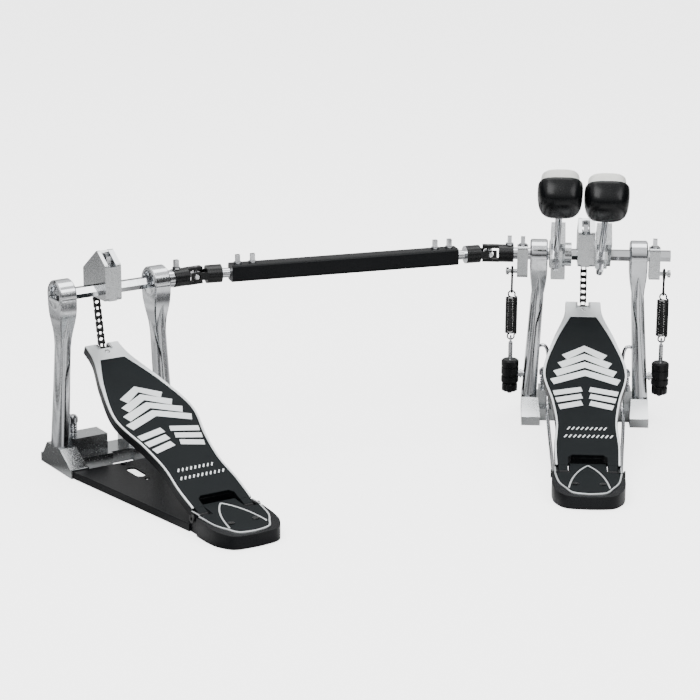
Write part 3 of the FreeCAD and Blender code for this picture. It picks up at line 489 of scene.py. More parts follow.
def helix(centre, radius, low, high, turns, steps=20):
    count = int(turns * steps)
    points = []
    for n in range(count + 1):
        angle = 2 * math.pi * n / steps
        z = low + (high - low) * n / count
        points.append(Vector((centre.x + radius * math.cos(angle), centre.y + radius * math.sin(angle), z)))
    return points


def make_spurs(pedal):
    """Floor spurs: threaded shank, lock spring and knurled head."""
    low, high = pedal_box("spurs")
    half = 5.3 * MM
    y = (low.y + high.y) / 2
    shank, springs, heads = bmesh.new(), bmesh.new(), bmesh.new()
    for x in (low.x + half, high.x - half):
        stem = along((x, y, 0), (0, 0, 1))
        thread = []
        for n in range(46):
            thread.append(((3.0 if n % 2 else 2.6) * MM, low.z + n * 0.95 * MM))
        solid_lathe(shank, thread, stem, 24)
        centre = Vector((x, y, 0))
        sweep(springs, helix(centre, 3.9 * MM, 32.2 * MM, 42.4 * MM, 4), 0.7 * MM, 8)
        knurl = []
        for n in range(60):
            angle = 2 * math.pi * n / 60
            r = (5.3 if n % 2 else 4.9) * MM
            knurl.append((x + r * math.cos(angle), y + r * math.sin(angle)))
        top = high.z
        prism(heads, [knurl], flat(top - 7.6 * MM), flat(top - 2.2 * MM))
        crown = ((4.2 * MM, top - 2.2 * MM), (4.2 * MM, top - 0.8 * MM), (3.4 * MM, top))
        solid_lathe(heads, crown, stem, 32)
    name = pedal.prefix + "spurs"
    finish_mesh(name + "_threads", shank, pedal.matrix, "chrome_steel", pedal.frame,
                node=name)
    for part, mesh in (("springs", springs), ("heads", heads)):
        finish_mesh(f"{name}_{part}", mesh, pedal.matrix, "chrome_steel", pedal.frame, 0)


PLATE_WIDE = 66.0 * MM           # half width of the floor plate at the foot casting
PLATE_FRONT = -40.5 * MM
PLATE_TOP = 8.0 * MM
PLATE_SHEET = 2.0 * MM
SLOT_X = -9.0 * MM
SLOT_RADIUS = 5.0 * MM
SLOT_ENDS = (-84.0 * MM, -65.0 * MM)
PLATE_HOLES = (-98.0 * MM, -47.0 * MM)
HOLE_RADIUS = 2.6 * MM
LUG_END = HINGE.y + 6.5 * MM     # front of the heel's hinge lugs, where the floor plate starts


def rounded_slot(x, radius, low, high, steps=10):
    """Round-ended slot along Y; a plain circle when both ends are the same."""
    turns = [math.pi * n / steps for n in range(steps + 1)]
    far = [(x + radius * math.cos(a), high + radius * math.sin(a)) for a in turns]
    near = [(x - radius * math.cos(a), low - radius * math.sin(a)) for a in turns]
    return far + near if high > low else far[:-1] + near[:-1]


def make_floor_plate():
    """Folded sheet under the slave pedal, with one long slot and two screw holes."""
    narrow = HEEL_HIGH.x

    def outline(inset):
        wide, slim = PLATE_WIDE - inset, narrow - inset
        return [(POST_MID - wide, PLATE_FRONT - inset), (-slim, LUG_END + inset), (slim, LUG_END + inset),
                (POST_MID + wide, PLATE_FRONT - inset)]

    sheet = bmesh.new()
    cuts = [rounded_slot(SLOT_X, SLOT_RADIUS, *SLOT_ENDS)]
    cuts += [rounded_slot(SLOT_X, HOLE_RADIUS, y, y) for y in PLATE_HOLES]
    prism(sheet, [outline(0)] + cuts, flat(PLATE_TOP - PLATE_SHEET), flat(PLATE_TOP))
    prism(sheet, [outline(0), outline(PLATE_SHEET)], flat(0), flat(PLATE_TOP - PLATE_SHEET / 2))
    finish_mesh("slave_floor_plate", sheet, SLAVE.matrix, "black_metal", SLAVE.frame, 0.5 * MM,
                node="slave_base_plate")


def make_radius_rods():
    """Spring-steel wires from the heel along the floor and up beside the posts."""
    heel_y = HINGE.y - 12 * MM
    mesh = bmesh.new()
    for side in (-1, 1):
        inner = POST_MID + side * 40.0 * MM
        hook = POST_MID + side * 52.0 * MM
        points = ((side * 30.0 * MM, heel_y, 8 * MM), (side * 33.5 * MM, heel_y + 26 * MM, 8 * MM),
                  (inner, -60 * MM, 12 * MM), (inner, -27 * MM, 15 * MM), (inner, -14 * MM, 28 * MM),
                  (inner, -3 * MM, 72 * MM), (inner + side * 4 * MM, -2 * MM, 80 * MM), (hook, 0, 77 * MM))
        sweep(mesh, rounded_path(points, 10 * MM), 1.9 * MM, 12)
    finish_mesh("radius_rod_wires", mesh, Matrix(), "chrome_steel", "frame", 0, 60,
                node="radius_rods")


# ---------------------------------------------------------------- footboard and heel
BOARD_TOP = 4.5 * MM
BOARD_FLANK = ((33, 9), (33.6, 38), (31.7, 72), (36, 108), (44.3, 153), (34.5, 204), (21.5, 248), (19.2, 274))
INLAY_FLANK = ((30.0, 8.7), (30.6, 38), (28.8, 72), (32.8, 108), (41.0, 153), (29.6, 204), (13.5, 247))
RECESS_HALF = 19.5
RECESS_END = 24.0
SHADE_SLAB_END = 27.5
SHADE_SLAB_HALF = 24.0
SHADE_SLAB_DEPTH = 11.0 * MM           # dark slab under the far edge of the recess, painted shade that blacks out the floor seen through the gap
NOTCH_HALF = 5.5
NOTCH_FLOOR = 265.5


def flank_curve(flank, inset=0.0):
    """Smooth right-hand flank in millimetres, moved inwards by the inset."""
    curve = spline([(x, y, 0) for x, y in flank], 10)
    moved = []
    for n, point in enumerate(curve):
        tangent = (curve[min(n + 1, len(curve) - 1)] - curve[max(n - 1, 0)]).normalized()
        moved.append((point.x - tangent.y * inset, point.y + tangent.x * inset))
    return moved


def board_loop(flank, inset, recess=True, notch=True):
    """Closed outline in metres: right flank, toe with its notch, left flank, heel with its recess."""
    right = flank_curve(flank, inset)
    top = right[-1][1] - inset
    right[-1] = (right[-1][0], top)
    loop = list(right)
    if notch:
        half, floor = NOTCH_HALF + inset, NOTCH_FLOOR - inset
        loop += [(half, top), (half, floor), (-half, floor), (-half, top)]
    loop += [(-x, y) for x, y in reversed(right)]
    if recess:
        half, end = RECESS_HALF + inset, RECESS_END + inset
        foot = right[0][1]
        loop += [(-half, foot), (-half, end - 4), (-half + 4, end),
                 (half - 4, end), (half, end - 4), (half, foot)]
    return [(x * MM, y * MM) for x, y in loop]


def make_board(pedal):
    """Black casting, silver rim plate, rubber inlay and the toe's fastenings."""
    place = pedal.board_frame
    under = board_loop(BOARD_FLANK, 0.4)
    inlay = board_loop(INLAY_FLANK, 0, notch=False)
    body = bmesh.new()
    prism(body, [under], flat(-BOARD_TOP), flat(BOARD_TOP - 0.9 * MM))
    for x in (-1, 1):
        barrel = along((x * 19.7 * MM, 0, 0), (x, 0, 0))
        barrel @= Matrix.Translation((0, 0, 4.9 * MM))
        lathe(body, ring_profile(4.4 * MM, 3.0 * MM, 4.9 * MM, 0.3 * MM), barrel, 32)
        web = [(x * a * MM, b * MM) for a, b in ((19.9, 2.5), (29.3, 2.5), (29.3, 12), (19.9, 12))]
        prism(body, [web], flat(-4.2 * MM), flat(BOARD_TOP - 0.9 * MM))
    # Painted shade: a dark slab under the far edge of the recess fills the gap with black where the pale
    # floor would show.
    shade_slab = [(-SHADE_SLAB_HALF, RECESS_END), (SHADE_SLAB_HALF, RECESS_END), (SHADE_SLAB_HALF, SHADE_SLAB_END), (-SHADE_SLAB_HALF, SHADE_SLAB_END)]
    prism(body, [[(x * MM, y * MM) for x, y in shade_slab]], flat(-SHADE_SLAB_DEPTH), flat(0))
    finish_mesh(pedal.prefix + "footboard_body", body, place, "black_metal", pedal.board, 0.8 * MM,
                node=pedal.prefix + "footboard")

    rim = bmesh.new()
    gap = board_loop(INLAY_FLANK, -0.15, notch=False)
    rim_outline = board_loop(BOARD_FLANK, 0.7)
    prism(rim, [rim_loop(rim_outline, gap)], flat(BOARD_TOP - 1.1 * MM), flat(BOARD_TOP + 0.5 * MM))
    finish_mesh(pedal.prefix + "footboard_rim", rim, place, "silver_rim", pedal.board, 0.35 * MM)

    rubber = bmesh.new()
    prism(rubber, [inlay], flat(BOARD_TOP - 1.0 * MM), flat(BOARD_TOP + 0.1 * MM))
    for x in (-1, 1):
        flap = [(x * a * MM, b * MM) for a, b in ((19.9, 0.6), (29.3, 0.6), (29.3, 8.7), (19.9, 8.7))]
        prism(rubber, [flap], flat(BOARD_TOP - 1.0 * MM), flat(BOARD_TOP + 0.1 * MM))
    finish_mesh(pedal.prefix + "footboard_inlay", rubber, place, "rubber_mat", pedal.board, 0.3 * MM,
                node=pedal.prefix + "footboard_mat")
    make_ornament(pedal, place)
    make_toe(pedal, place)


def rim_loop(outer, inner):
    """One closed loop for the rim: the outer outline, then the inner one backwards from heel to heel."""
    flank = 10 * (len(BOARD_FLANK) - 1) + 1
    outer_open = outer[:2 * flank + 4]
    inner_flank = 10 * (len(INLAY_FLANK) - 1) + 1
    inner_open = inner[:2 * inner_flank]
    return outer_open + inner_open[::-1]


def ribbon(points, width):
    """Outline of a strip of even width along a flat path."""
    left, right = [], []
    for n, point in enumerate(points):
        before, after = points[max(n - 1, 0)], points[min(n + 1, len(points) - 1)]
        direction = Vector((after[0] - before[0], after[1] - before[1])).normalized()
        offset = Vector((-direction.y, direction.x)) * width / 2
        left.append((point[0] + offset.x, point[1] + offset.y))
        right.append((point[0] - offset.x, point[1] - offset.y))
    return left + right[::-1]


def make_ornament(pedal, place):
    """Plain silver pattern on the inlay: nested chevrons over slanted bars, and two rows of dashes."""
    mesh = bmesh.new()
    low, high = BOARD_TOP - 0.2 * MM, BOARD_TOP + 0.35 * MM

    def strip(points, width):
        loop = ribbon([(x * MM, y * MM) for x, y in points], width * MM)
        prism(mesh, [loop], flat(low), flat(high))

    for level, half in enumerate((21.0, 26.0, 31.0, 34.5)):
        foot = 178.0 - level * 13.5
        strip([(-half, foot), (0, foot + 15.0), (half, foot)], 9.5)
    for side in (-1, 1):
        for level, (near, far) in enumerate(((4.0, 33.0), (4.0, 30.5), (4.0, 27.5))):
            foot = 119.0 - level * 11.0
            strip([(side * near, foot + 7.0), (side * far, foot)], 7.5)
    for row, (foot, reach) in enumerate(((62.0, 4), (50.0, 5))):
        for n in range(-reach, reach + 1):
            middle = n * 4.6 + row * 1.5
            strip([(middle - 1.4, foot), (middle + 1.4, foot + 4.2)], 1.5)
    finish_mesh(pedal.prefix + "footboard_ornament", mesh, place, "silver_rim", pedal.board, 0.1 * MM)


def make_toe(pedal, place):
    """Chain pin, its two lugs and the round screw behind the notch."""
    mesh = bmesh.new()
    pin_seat = along((0, pedal.pin_run, PIN_RISE), (1, 0, 0))
    solid_lathe(mesh, ((1.0 * MM, -8 * MM), (1.0 * MM, 8 * MM)), pin_seat, 16)
    dome = ((2.9 * MM, 0), (2.8 * MM, 0.5 * MM), (2.1 * MM, 1.0 * MM),
            (1.0 * MM, 1.2 * MM), (1.0 * MM, 0.6 * MM))
    solid_lathe(mesh, dome, along((0, 259.0 * MM, BOARD_TOP + 0.4 * MM), (0, 0, 1)), 24)
    for side in (-1, 1):
        lug = ((0.3, 263), (2.4, 263), (2.4, 270.5), (0.3, 270.5))
        loop = [(side * (NOTCH_HALF + a) * MM, b * MM) for a, b in lug]
        prism(mesh, [loop], flat(BOARD_TOP + 0.3 * MM), flat(BOARD_TOP + 2.2 * MM))
    finish_mesh(pedal.prefix + "toe_clip", mesh, place, "bright_link", pedal.board, 0.15 * MM)


HEEL_LOW, HEEL_HIGH = pedal_box("heel_plate")
HEEL_TOP = 19.5 * MM
HEEL_TILT = math.tan(math.radians(5.4))
HEEL_FRONT = HINGE.y - 8.0 * MM


def heel_surface(lift):
    return lambda x, y: HEEL_TOP + lift + (y - HINGE.y) * HEEL_TILT


def heel_loop(inset, front, taper=0.0):
    """Straight sides, round corners and a gently curved back, in metres; taper narrows the back."""
    half = HEEL_HIGH.x - inset
    rear = half - taper
    back = HEEL_LOW.y + inset + taper * 0.3
    turn = HEEL_FRONT - (HEEL_FRONT - HEEL_LOW.y) * 0.40
    corner = back + 3.0 * MM
    side = half - taper * 0.45
    right = spline([(half, front, 0), (side, turn, 0), (rear * 0.91, turn - (turn - corner) * 0.55, 0),
                    (rear * 0.62, corner, 0), (0, back, 0)], 8)
    loop = [(p.x, p.y) for p in right]
    return loop + [(-x, y) for x, y in reversed(loop[:-1])]


HEEL_TAPER = 7.5 * MM           # how much the inlay narrows towards the back
TONGUE_END = HINGE.y + 14.0 * MM
HEEL_SCREWS = (12.5 * MM, HINGE.y - 34.0 * MM)


def make_heel(pedal):
    """Black heel casting, rubber inlay, silver rim line and the pointed arch."""
    body = bmesh.new()
    front = HEEL_FRONT
    prism(body, [heel_loop(0, front)], flat(HEEL_LOW.z), heel_surface(-0.6 * MM))
    for x in (-1, 1):
        lug = [(x * a * MM, b) for a, b in ((29.8, front), (34, front), (34, LUG_END), (29.8, LUG_END))]
        prism(body, [lug], flat(HEEL_LOW.z), flat(HINGE.z + 5 * MM))
    block = [(-19 * MM, front), (19 * MM, front), (19 * MM, TONGUE_END), (-19 * MM, TONGUE_END)]
    prism(body, [block], flat(HEEL_LOW.z), heel_surface(-0.6 * MM))
    finish_mesh(pedal.prefix + "heel_casting", body, pedal.matrix, "black_metal", pedal.frame, 1.2 * MM,
                node=pedal.prefix + "heel_plate")

    rubber = bmesh.new()
    prism(rubber, [heel_loop(4.2 * MM, front, HEEL_TAPER)], heel_surface(-1.0 * MM), heel_surface(0.5 * MM))
    end = TONGUE_END - 0.6 * MM
    tongue = [(-18 * MM, front), (18 * MM, front), (18 * MM, end), (-18 * MM, end)]
    prism(rubber, [tongue], heel_surface(-1.0 * MM), heel_surface(0.5 * MM))
    finish_mesh(pedal.prefix + "heel_inlay", rubber, pedal.matrix, "rubber_mat", pedal.frame, 0.3 * MM,
                node=pedal.prefix + "heel_mat")

    line = bmesh.new()
    outer, inner = heel_loop(2.3 * MM, front, HEEL_TAPER), heel_loop(4.0 * MM, front, HEEL_TAPER)
    prism(line, [outer + inner[::-1]], heel_surface(-1.0 * MM), heel_surface(0.7 * MM))
    for side in (-1, 1):
        strip = ((31.9, front), (33.6, front), (33.6, LUG_END), (31.9, LUG_END))
        joint = [(side * a * MM, b) for a, b in strip]
        prism(line, [joint], flat(HINGE.z + 4.6 * MM), flat(HINGE.z + 5.4 * MM))
        apex, foot = Vector((0, HINGE.y + 9.0 * MM)), Vector((side * 20 * MM, HINGE.y - 43 * MM))
        swell = Vector((side * 15.5 * MM, HINGE.y - 8 * MM))
        arc = []
        for t in [n / 14 for n in range(15)]:
            arc.append(apex * (1 - t) ** 2 + swell * 2 * t * (1 - t) + foot * t * t)
        band = ribbon([(p.x, p.y) for p in arc], 1.7 * MM)
        prism(line, [band], heel_surface(0.2 * MM), heel_surface(0.9 * MM))
    finish_mesh(pedal.prefix + "heel_rim", line, pedal.matrix, "silver_rim", pedal.frame, 0.2 * MM)

    screws = bmesh.new()
    for side in (-1, 1):
        x, y = side * HEEL_SCREWS[0], HEEL_SCREWS[1]
        seat = along((x, y, heel_surface(0.3 * MM)(x, y)), (0, 0, 1))
        socket = ((2.6 * MM, 0), (2.9 * MM, 0.3 * MM), (2.6 * MM, 0.7 * MM), (1.5 * MM, 0.7 * MM),
                  (1.3 * MM, 0.2 * MM))
        solid_lathe(screws, socket, seat, 24)
    finish_mesh(pedal.prefix + "heel_screws", screws, pedal.matrix, "black_oxide", pedal.frame)


# ---------------------------------------------------------------- chain
CAM_RADIUS = 25.0 * MM
CHAIN_PITCH = 6.35 * MM
CHAIN_WIDTH = 7.2 * MM
STRAND_PAST = 14.0 * MM
WRAP_START = math.radians(40)
WRAP_LINKS = 2
PLATE_THICK = 0.8 * MM


def strand_pins(toe_pin):
    """Pins from the toe pin up the line that just touches the cam's pitch circle."""
    to_axis = Vector((0, 0, SHAFT.z)) - toe_pin
    lean = math.asin(CAM_RADIUS / to_axis.length) + math.atan2(to_axis.y, to_axis.z)
    run = math.sqrt(to_axis.length ** 2 - CAM_RADIUS ** 2) + STRAND_PAST
    step = Vector((0, math.sin(lean), math.cos(lean))) * CHAIN_PITCH
    return [toe_pin + step * n for n in range(int(run / CHAIN_PITCH) + 1)]


def wrapped_pins():
    step = 2 * math.asin(CHAIN_PITCH / 2 / CAM_RADIUS)
    angles = [WRAP_START + step * n for n in range(WRAP_LINKS + 1)]
    return [Vector((0, CAM_RADIUS * math.cos(a), SHAFT.z + CAM_RADIUS * math.sin(a))) for a in angles]


def link_outline(start, end):
    """Waisted outline of a side plate in its YZ plane."""
    forward = (end - start).normalized()
    across = Vector((0, -forward.z, forward.y))
    round_end, waist = 2.6 * MM, 1.7 * MM
    points = []
    for centre, sign in ((end, 1), (start, -1)):
        for n in range(9):
            angle = math.radians(-65 + 130 * n / 8)
            points.append(centre + (forward * math.cos(angle) + across * math.sin(angle)) * round_end * sign)
        points.append((start + end) / 2 + across * waist * sign)
    return points


def plate(mesh, outline, x, thick):
    """A flat plate in a YZ plane between two X faces."""
    loft(mesh, [[Vector((face, point.y, point.z)) for point in outline] for face in (x, x + thick)])


def make_chain(name, pins, matrix, body):
    """Black roller chain: side plates, and rollers with their pin ends."""
    plates, rollers = bmesh.new(), bmesh.new()
    for number, (start, end) in enumerate(zip(pins, pins[1:])):
        outer = CHAIN_WIDTH / 2 - 0.15 * MM if number % 2 else CHAIN_WIDTH / 2 - PLATE_THICK - 0.2 * MM
        outline = link_outline(start, end)
        for x in (outer - PLATE_THICK, -outer):
            plate(plates, outline, x, PLATE_THICK)
    reach = CHAIN_WIDTH / 2 - 2 * PLATE_THICK - 0.2 * MM
    for pin in pins:
        seat = along(pin, (1, 0, 0))
        solid_lathe(rollers, ((1.2 * MM, -CHAIN_WIDTH / 2), (1.2 * MM, CHAIN_WIDTH / 2)), seat, 14)
        roller = ((1.5 * MM, -reach), (1.75 * MM, -reach + 0.2 * MM),
                  (1.75 * MM, reach - 0.2 * MM), (1.5 * MM, reach))
        solid_lathe(rollers, roller, seat, 20)
    finish_mesh(name + "_plates", plates, matrix, "black_oxide", body, 0.15 * MM,
                node=name)
    finish_mesh(name + "_rollers", rollers, matrix, "black_oxide", body)


HUB_GAP = 4.3 * MM              # half the space between the cheeks of the cam hub
HUB_WEB = ((0.5, 30), (8.5, 30), (8.5, 35), (3, 39.2), (0.5, 37.4))     # y and z from the shaft axis
WEB_SEAT = 0.3 * MM             # how far the web runs into each cheek


def make_hub_web(pedal):
    """The web that joins the two cheeks of the cam hub above the chain."""
    outline = [Vector((0, y * MM, SHAFT.z + z * MM)) for y, z in HUB_WEB]
    web = bmesh.new()
    plate(web, outline, -HUB_GAP - WEB_SEAT, 2 * (HUB_GAP + WEB_SEAT))
    finish_mesh(pedal.prefix + "cam_hub_web", web, pedal.matrix, "hub_cast", pedal.rocker, 0.6 * MM)


# ---------------------------------------------------------------- springs
COIL_RADIUS = 5.75 * MM
COIL_WIRE = 0.85 * MM
COIL_TURNS = 21
LOOP_RADIUS = 3.6 * MM


def arc_points(centre, radius, start, end, axis_a, axis_b, steps=14):
    """Points on an arc in the plane of two axes, angles in degrees."""
    points = []
    for n in range(steps + 1):
        angle = math.radians(start + (end - start) * n / steps)
        points.append(centre + axis_a * radius * math.cos(angle) + axis_b * radius * math.sin(angle))
    return points


RIGHT, FORWARD, UP = Vector((1, 0, 0)), Vector((0, 1, 0)), Vector((0, 0, 1))


def make_spring(side):
    """Close-wound coil whose two ends open into loops, and the wire hook above it."""
    name = "spring_" + side
    low, high = pedal_box(name)
    x = (low.x + high.x) / 2
    loop_rise = LOOP_RADIUS + 0.9 * MM
    foot, top = low.z + loop_rise, high.z - loop_rise
    coil_low, coil_high = foot + 3.6 * MM, top - 3.6 * MM
    path = arc_points(Vector((x, 0, foot)), LOOP_RADIUS, 100, 385, RIGHT, UP)
    path += helix(Vector((x, 0, 0)), COIL_RADIUS, coil_low, coil_high, COIL_TURNS)
    path += arc_points(Vector((x, 0, top)), LOOP_RADIUS, -25, 260, RIGHT, UP)
    mesh = bmesh.new()
    sweep(mesh, path, COIL_WIRE, 8)
    coil = finish_mesh(name + "_coil", mesh, Matrix(), "black_oxide", None, 0, 60)
    hook_body = "spring_hook_" + side
    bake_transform(coil)
    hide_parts(name)

    hook_high = pedal_box(hook_body)[1]
    ring_radius, wire = 5.6 * MM, 1.2 * MM
    ring = Vector((x, 0, hook_high.z - ring_radius - wire))
    eye = Vector((x, 0, top + LOOP_RADIUS + 1.6 * MM))
    path = arc_points(eye, 3.0 * MM, 130, 425, FORWARD, UP)
    path.append(eye + UP * 6.5 * MM)
    path.append(ring - UP * (ring_radius + 2.5 * MM) + FORWARD * 0.3 * MM)
    path += arc_points(ring, ring_radius, -100, 215, FORWARD, UP, 20)
    mesh = bmesh.new()
    sweep(mesh, spline(path, 3), wire, 10)
    finish_mesh(hook_body + "_wire", mesh, Matrix(), "black_oxide", hook_body, 0, 60,
                node=hook_body)


def make_tension_gear():
    """Threaded rods with eyes, the barrels that hold them on studs, and the knurled knobs."""
    low, high = pedal_box("tension_rods")
    rod_low, rod_high = low.z, high.z
    barrel_low, barrel_high = pedal_box("tension_holders")
    rods, barrels, studs = bmesh.new(), bmesh.new(), bmesh.new()
    for side in ("left", "right"):
        knob_low, knob_high = pedal_box("tension_knob_" + side)
        x = (knob_low.x + knob_high.x) / 2
        stem = along((x, 0, 0), (0, 0, 1))
        eye = rod_high - 4.0 * MM
        thread = [(2.1 * MM, rod_low), (2.4 * MM, rod_low + 0.5 * MM)]
        count = int((eye - 4 * MM - rod_low) / (0.9 * MM))
        for n in range(count):
            thread.append(((2.5 if n % 2 else 2.2) * MM, rod_low + (n + 1) * 0.9 * MM))
        thread += [(2.2 * MM, eye - 3.4 * MM), (1.4 * MM, eye - 2.6 * MM)]
        solid_lathe(rods, thread, stem, 20)
        ring = arc_points(Vector((x, 0, eye)), 3.0 * MM, 0, 345, FORWARD, UP, 23)
        sweep(rods, ring, 1.05 * MM, 10, closed=True)
        foot, top = barrel_low.z, barrel_high.z
        radius = 9.5 * MM
        waist, hole = radius - 1.5 * MM, 2.7 * MM
        middle = foot + 8.5 * MM
        profile = ((hole, foot), (radius - 1.2 * MM, foot), (radius, foot + 1.2 * MM),
                   (radius, middle - 1.4 * MM), (waist, middle - 1.0 * MM),
                   (waist, middle + 1.0 * MM), (radius, middle + 1.4 * MM), (radius, top - 9.0 * MM),
                   (waist + 0.5 * MM, top - 8.6 * MM), (waist + 0.5 * MM, top - 7.4 * MM),
                   (radius, top - 7.0 * MM), (radius, top - 1.6 * MM), (radius - 1.6 * MM, top), (hole, top))
        lathe(barrels, profile, stem, 48)
        outward = 1 if x > POST_MID else -1
        start = POST_MID + outward * 62.0 * MM
        neck = ((3.4 * MM, 0), (3.4 * MM, 6.2 * MM), (4.6 * MM, 6.4 * MM),
                (4.6 * MM, 8.4 * MM), (3.4 * MM, 8.6 * MM), (3.4 * MM, 12.0 * MM))
        solid_lathe(studs, neck, along((start, 0, foot + 10 * MM), (outward, 0, 0)), 28)
        make_knob(side, x, knob_low.z, knob_high.z)
    finish_mesh("tension_rod_threads", rods, Matrix(), "chrome_steel", "frame",
                node="tension_rods")
    finish_mesh("tension_barrels", barrels, Matrix(), "black_plastic", "frame", 0, 28,
                node="tension_holders")
    finish_mesh("tension_studs", studs, Matrix(), "chrome_steel", "frame")


def make_knob(side, x, low, high):
    """Fluted adjusting knob under the barrel."""
    name = "tension_knob_" + side
    radius = 8.7 * MM
    flutes = []
    for n in range(72):
        angle = 2 * math.pi * n / 72
        r = radius - 0.45 * MM * (1 + math.cos(12 * angle))
        flutes.append((r, angle))
    rings = []
    for z, scale in ((low, 0.84), (low + 0.8 * MM, 0.96), (low + 1.6 * MM, 1.0), (high - 1.2 * MM, 1.0),
                     (high - 0.4 * MM, 0.95), (high, 0.85)):
        rings.append([Vector((x + r * scale * math.cos(a), r * scale * math.sin(a), z)) for r, a in flutes])
    mesh = bmesh.new()
    loft(mesh, rings)
    finish_mesh(name + "_fluted", mesh, Matrix(), "black_plastic", name, 0, 40,
                node=name)


# ---------------------------------------------------------------- beaters
ROD_BACK = -14.0 * MM
HEAD_REACH = {"left": 141.5 * MM, "right": 135.5 * MM}
HEAD_HALF = 23.0 * MM
HEAD_DEPTH = 30.0 * MM
FELT_HALF = 19.5 * MM
CUP_SECTIONS = (       # depth from the back of the cup, half size as a share of the cup's
    (0.0, 0.06), (0.15, 0.26), (0.7, 0.46), (1.9, 0.62), (3.9, 0.755), (6.8, 0.86), (10.6, 0.93),
    (15.2, 0.972), (20.5, 0.995), (26.0, 1.0), (28.6, 0.992), (29.6, 0.965), (30.0, 0.93), (30.0, 0.88),
    (29.2, 0.86))
FELT_SECTIONS = ((0.0, 0.98), (1.5, 1.0), (9.0, 1.0), (10.8, 0.985), (11.7, 0.94), (12.2, 0.86), (12.4, 0.60),
                 (12.5, 0.15))


def rounded_ring(centre, depth, half, power=3.4, steps=72):
    """A square with soft sides, standing across the rod at a depth from the head's centre."""
    return [centre + Vector((half * a, depth, half * b)) for a, b in oval_outline(power, steps)]


def make_beater(side):
    """Moulded cup and the pressed felt pad on its striking face."""
    body = "beater_" + side
    rod_low, rod_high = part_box("beater_rod_" + side)
    x = (rod_low.x + rod_high.x) / 2
    centre = Vector((x, ROD_BACK, HEAD_REACH[side]))
    back = -HEAD_DEPTH / 2
    mesh = bmesh.new()
    loft(mesh, [rounded_ring(centre, back + depth * MM, HEAD_HALF * share) for depth, share in CUP_SECTIONS])
    finish_mesh(f"beater_head_{side}_cup", mesh, LEAN_FRAME, "black_plastic", body, 0, 50,
                node="beater_head_" + side)

    face = HEAD_DEPTH / 2 - 0.8 * MM
    rings = []
    for (depth, share), (next_depth, next_share) in zip(FELT_SECTIONS, FELT_SECTIONS[1:]):
        for n in range(4):
            t = n / 4
            step = face + (depth + (next_depth - depth) * t) * MM
            rings.append(rounded_ring(centre, step, FELT_HALF * (share + (next_share - share) * t), 3.0, 144))
    mesh = bmesh.new()
    loft(mesh, rings)
    for vertex in mesh.verts:
        outward = (vertex.co - centre).normalized()
        matted = noise.noise(vertex.co * 420) + 0.6 * noise.noise(vertex.co * 1100)
        vertex.co += outward * matted * 0.22 * MM
    finish_mesh(f"beater_felt_{side}_pad", mesh, LEAN_FRAME, "felt", body, 0, 180,
                node="beater_felt_" + side)


# ---------------------------------------------------------------- CAD nodes kept as they are
KEPT = {         # finish: material, rounding in millimetres, nodes
    "castings": ("satin_cast", 1.2, ("base_frame", "slave_base_frame", "hoop_jaw")),
    "hubs": ("hub_cast", 0.8, ("cam_hub", "slave_cam_hub", "beater_clamp", "secondary_hub",
                               "spring_arm_left", "spring_arm_right")),
    "steel": ("chrome_steel", 0.35, ("hex_shaft", "slave_shaft", "sleeve_shaft", "beater_rod_left",
                                     "beater_rod_right", "link_rod_left", "link_rod_right", "rocker_bolts",
                                     "secondary_bolts", "slave_rocker_bolts", "link_bolts", "clamp_bolt",
                                     "joint_cross_left", "joint_cross_right")),
    "black": ("black_metal", 0.8, ("link_tube",)),
    "dark": ("black_oxide", 0.5, ("joint_yoke_left", "joint_yoke_right", "heel_fasteners",
                                  "slave_heel_fasteners")),
}


YOKE_REACH = 27.0 * MM


def blacken_yoke(node, joint):
    """Give the black finish to the end of a link rod that forms its joint's yoke."""
    centre = joint_point(joint)
    node.data.materials.append(MATERIALS["black_oxide"])
    for face in node.data.polygons:
        if (node.matrix_world @ face.center - centre).length < YOKE_REACH:
            face.material_index = 1


def dress_kept_nodes():
    for material, width, names in KEPT.values():
        for name in names:
            node = frame["nodes"][name]
            node.data.materials.clear()
            node.data.materials.append(MATERIALS[material])
            round_off(node, width * MM, 30)
    blacken_yoke(frame["nodes"]["link_rod_right"], "link_turn")
    blacken_yoke(frame["nodes"]["link_rod_left"], "link_slider_turn")


# ---------------------------------------------------------------- stage
def area_light(name, place, aim, size, power):
    data = bpy.data.lights.new(name, "AREA")
    data.shape = "RECTANGLE"
    data.size, data.size_y = size
    data.energy = power
    light = bpy.data.objects.new(name, data)
    light.location = place
    light.rotation_euler = (Vector(aim) - Vector(place)).to_track_quat("-Z", "Y").to_euler()
    bpy.context.scene.collection.objects.link(light)


STAGE_TONE = 0.95
STAGE_GLOW = 2.6


def stage_sheet(name, corners, mirrored):
    """A flat stage surface, pale to the camera; reflections see streaks between the two mirrored tones."""
    data = bpy.data.meshes.new(name)
    data.from_pydata(corners, [], [(0, 1, 2, 3)])
    graph = Graph(name)
    seen = graph.add("ShaderNodeLightPath").outputs["Is Camera Ray"]
    streaks = graph.span(graph.noise(9.0, 1.0, (1, 0.12, 1)), 0.0, 1.0, 0.42, 0.58)
    reflected = graph.mix(streaks, (mirrored[0],) * 3, (mirrored[1],) * 3)
    graph.wire(graph.mix(seen, reflected, (STAGE_TONE,) * 3), graph.shader.inputs["Base Color"])
    graph.shader.inputs["Roughness"].default_value = 0.7
    graph.shader.inputs["Emission Color"].default_value = (1, 1, 1, 1)
    graph.wire(graph.span(seen, 0.0, STAGE_GLOW, 0.0, 1.0), graph.shader.inputs["Emission Strength"])
    data.materials.append(graph.material)
    sheet = bpy.data.objects.new(name, data)
    bpy.context.scene.collection.objects.link(sheet)


AIM = Vector((-0.2509, -0.0006, 0.0686))
VIEW_AZIMUTH = math.radians(-3.34)
VIEW_ELEVATION = math.radians(16.30)
VIEW_ROLL = math.radians(0.24)
VIEW_DISTANCE = 2.602
LENS = 123.1


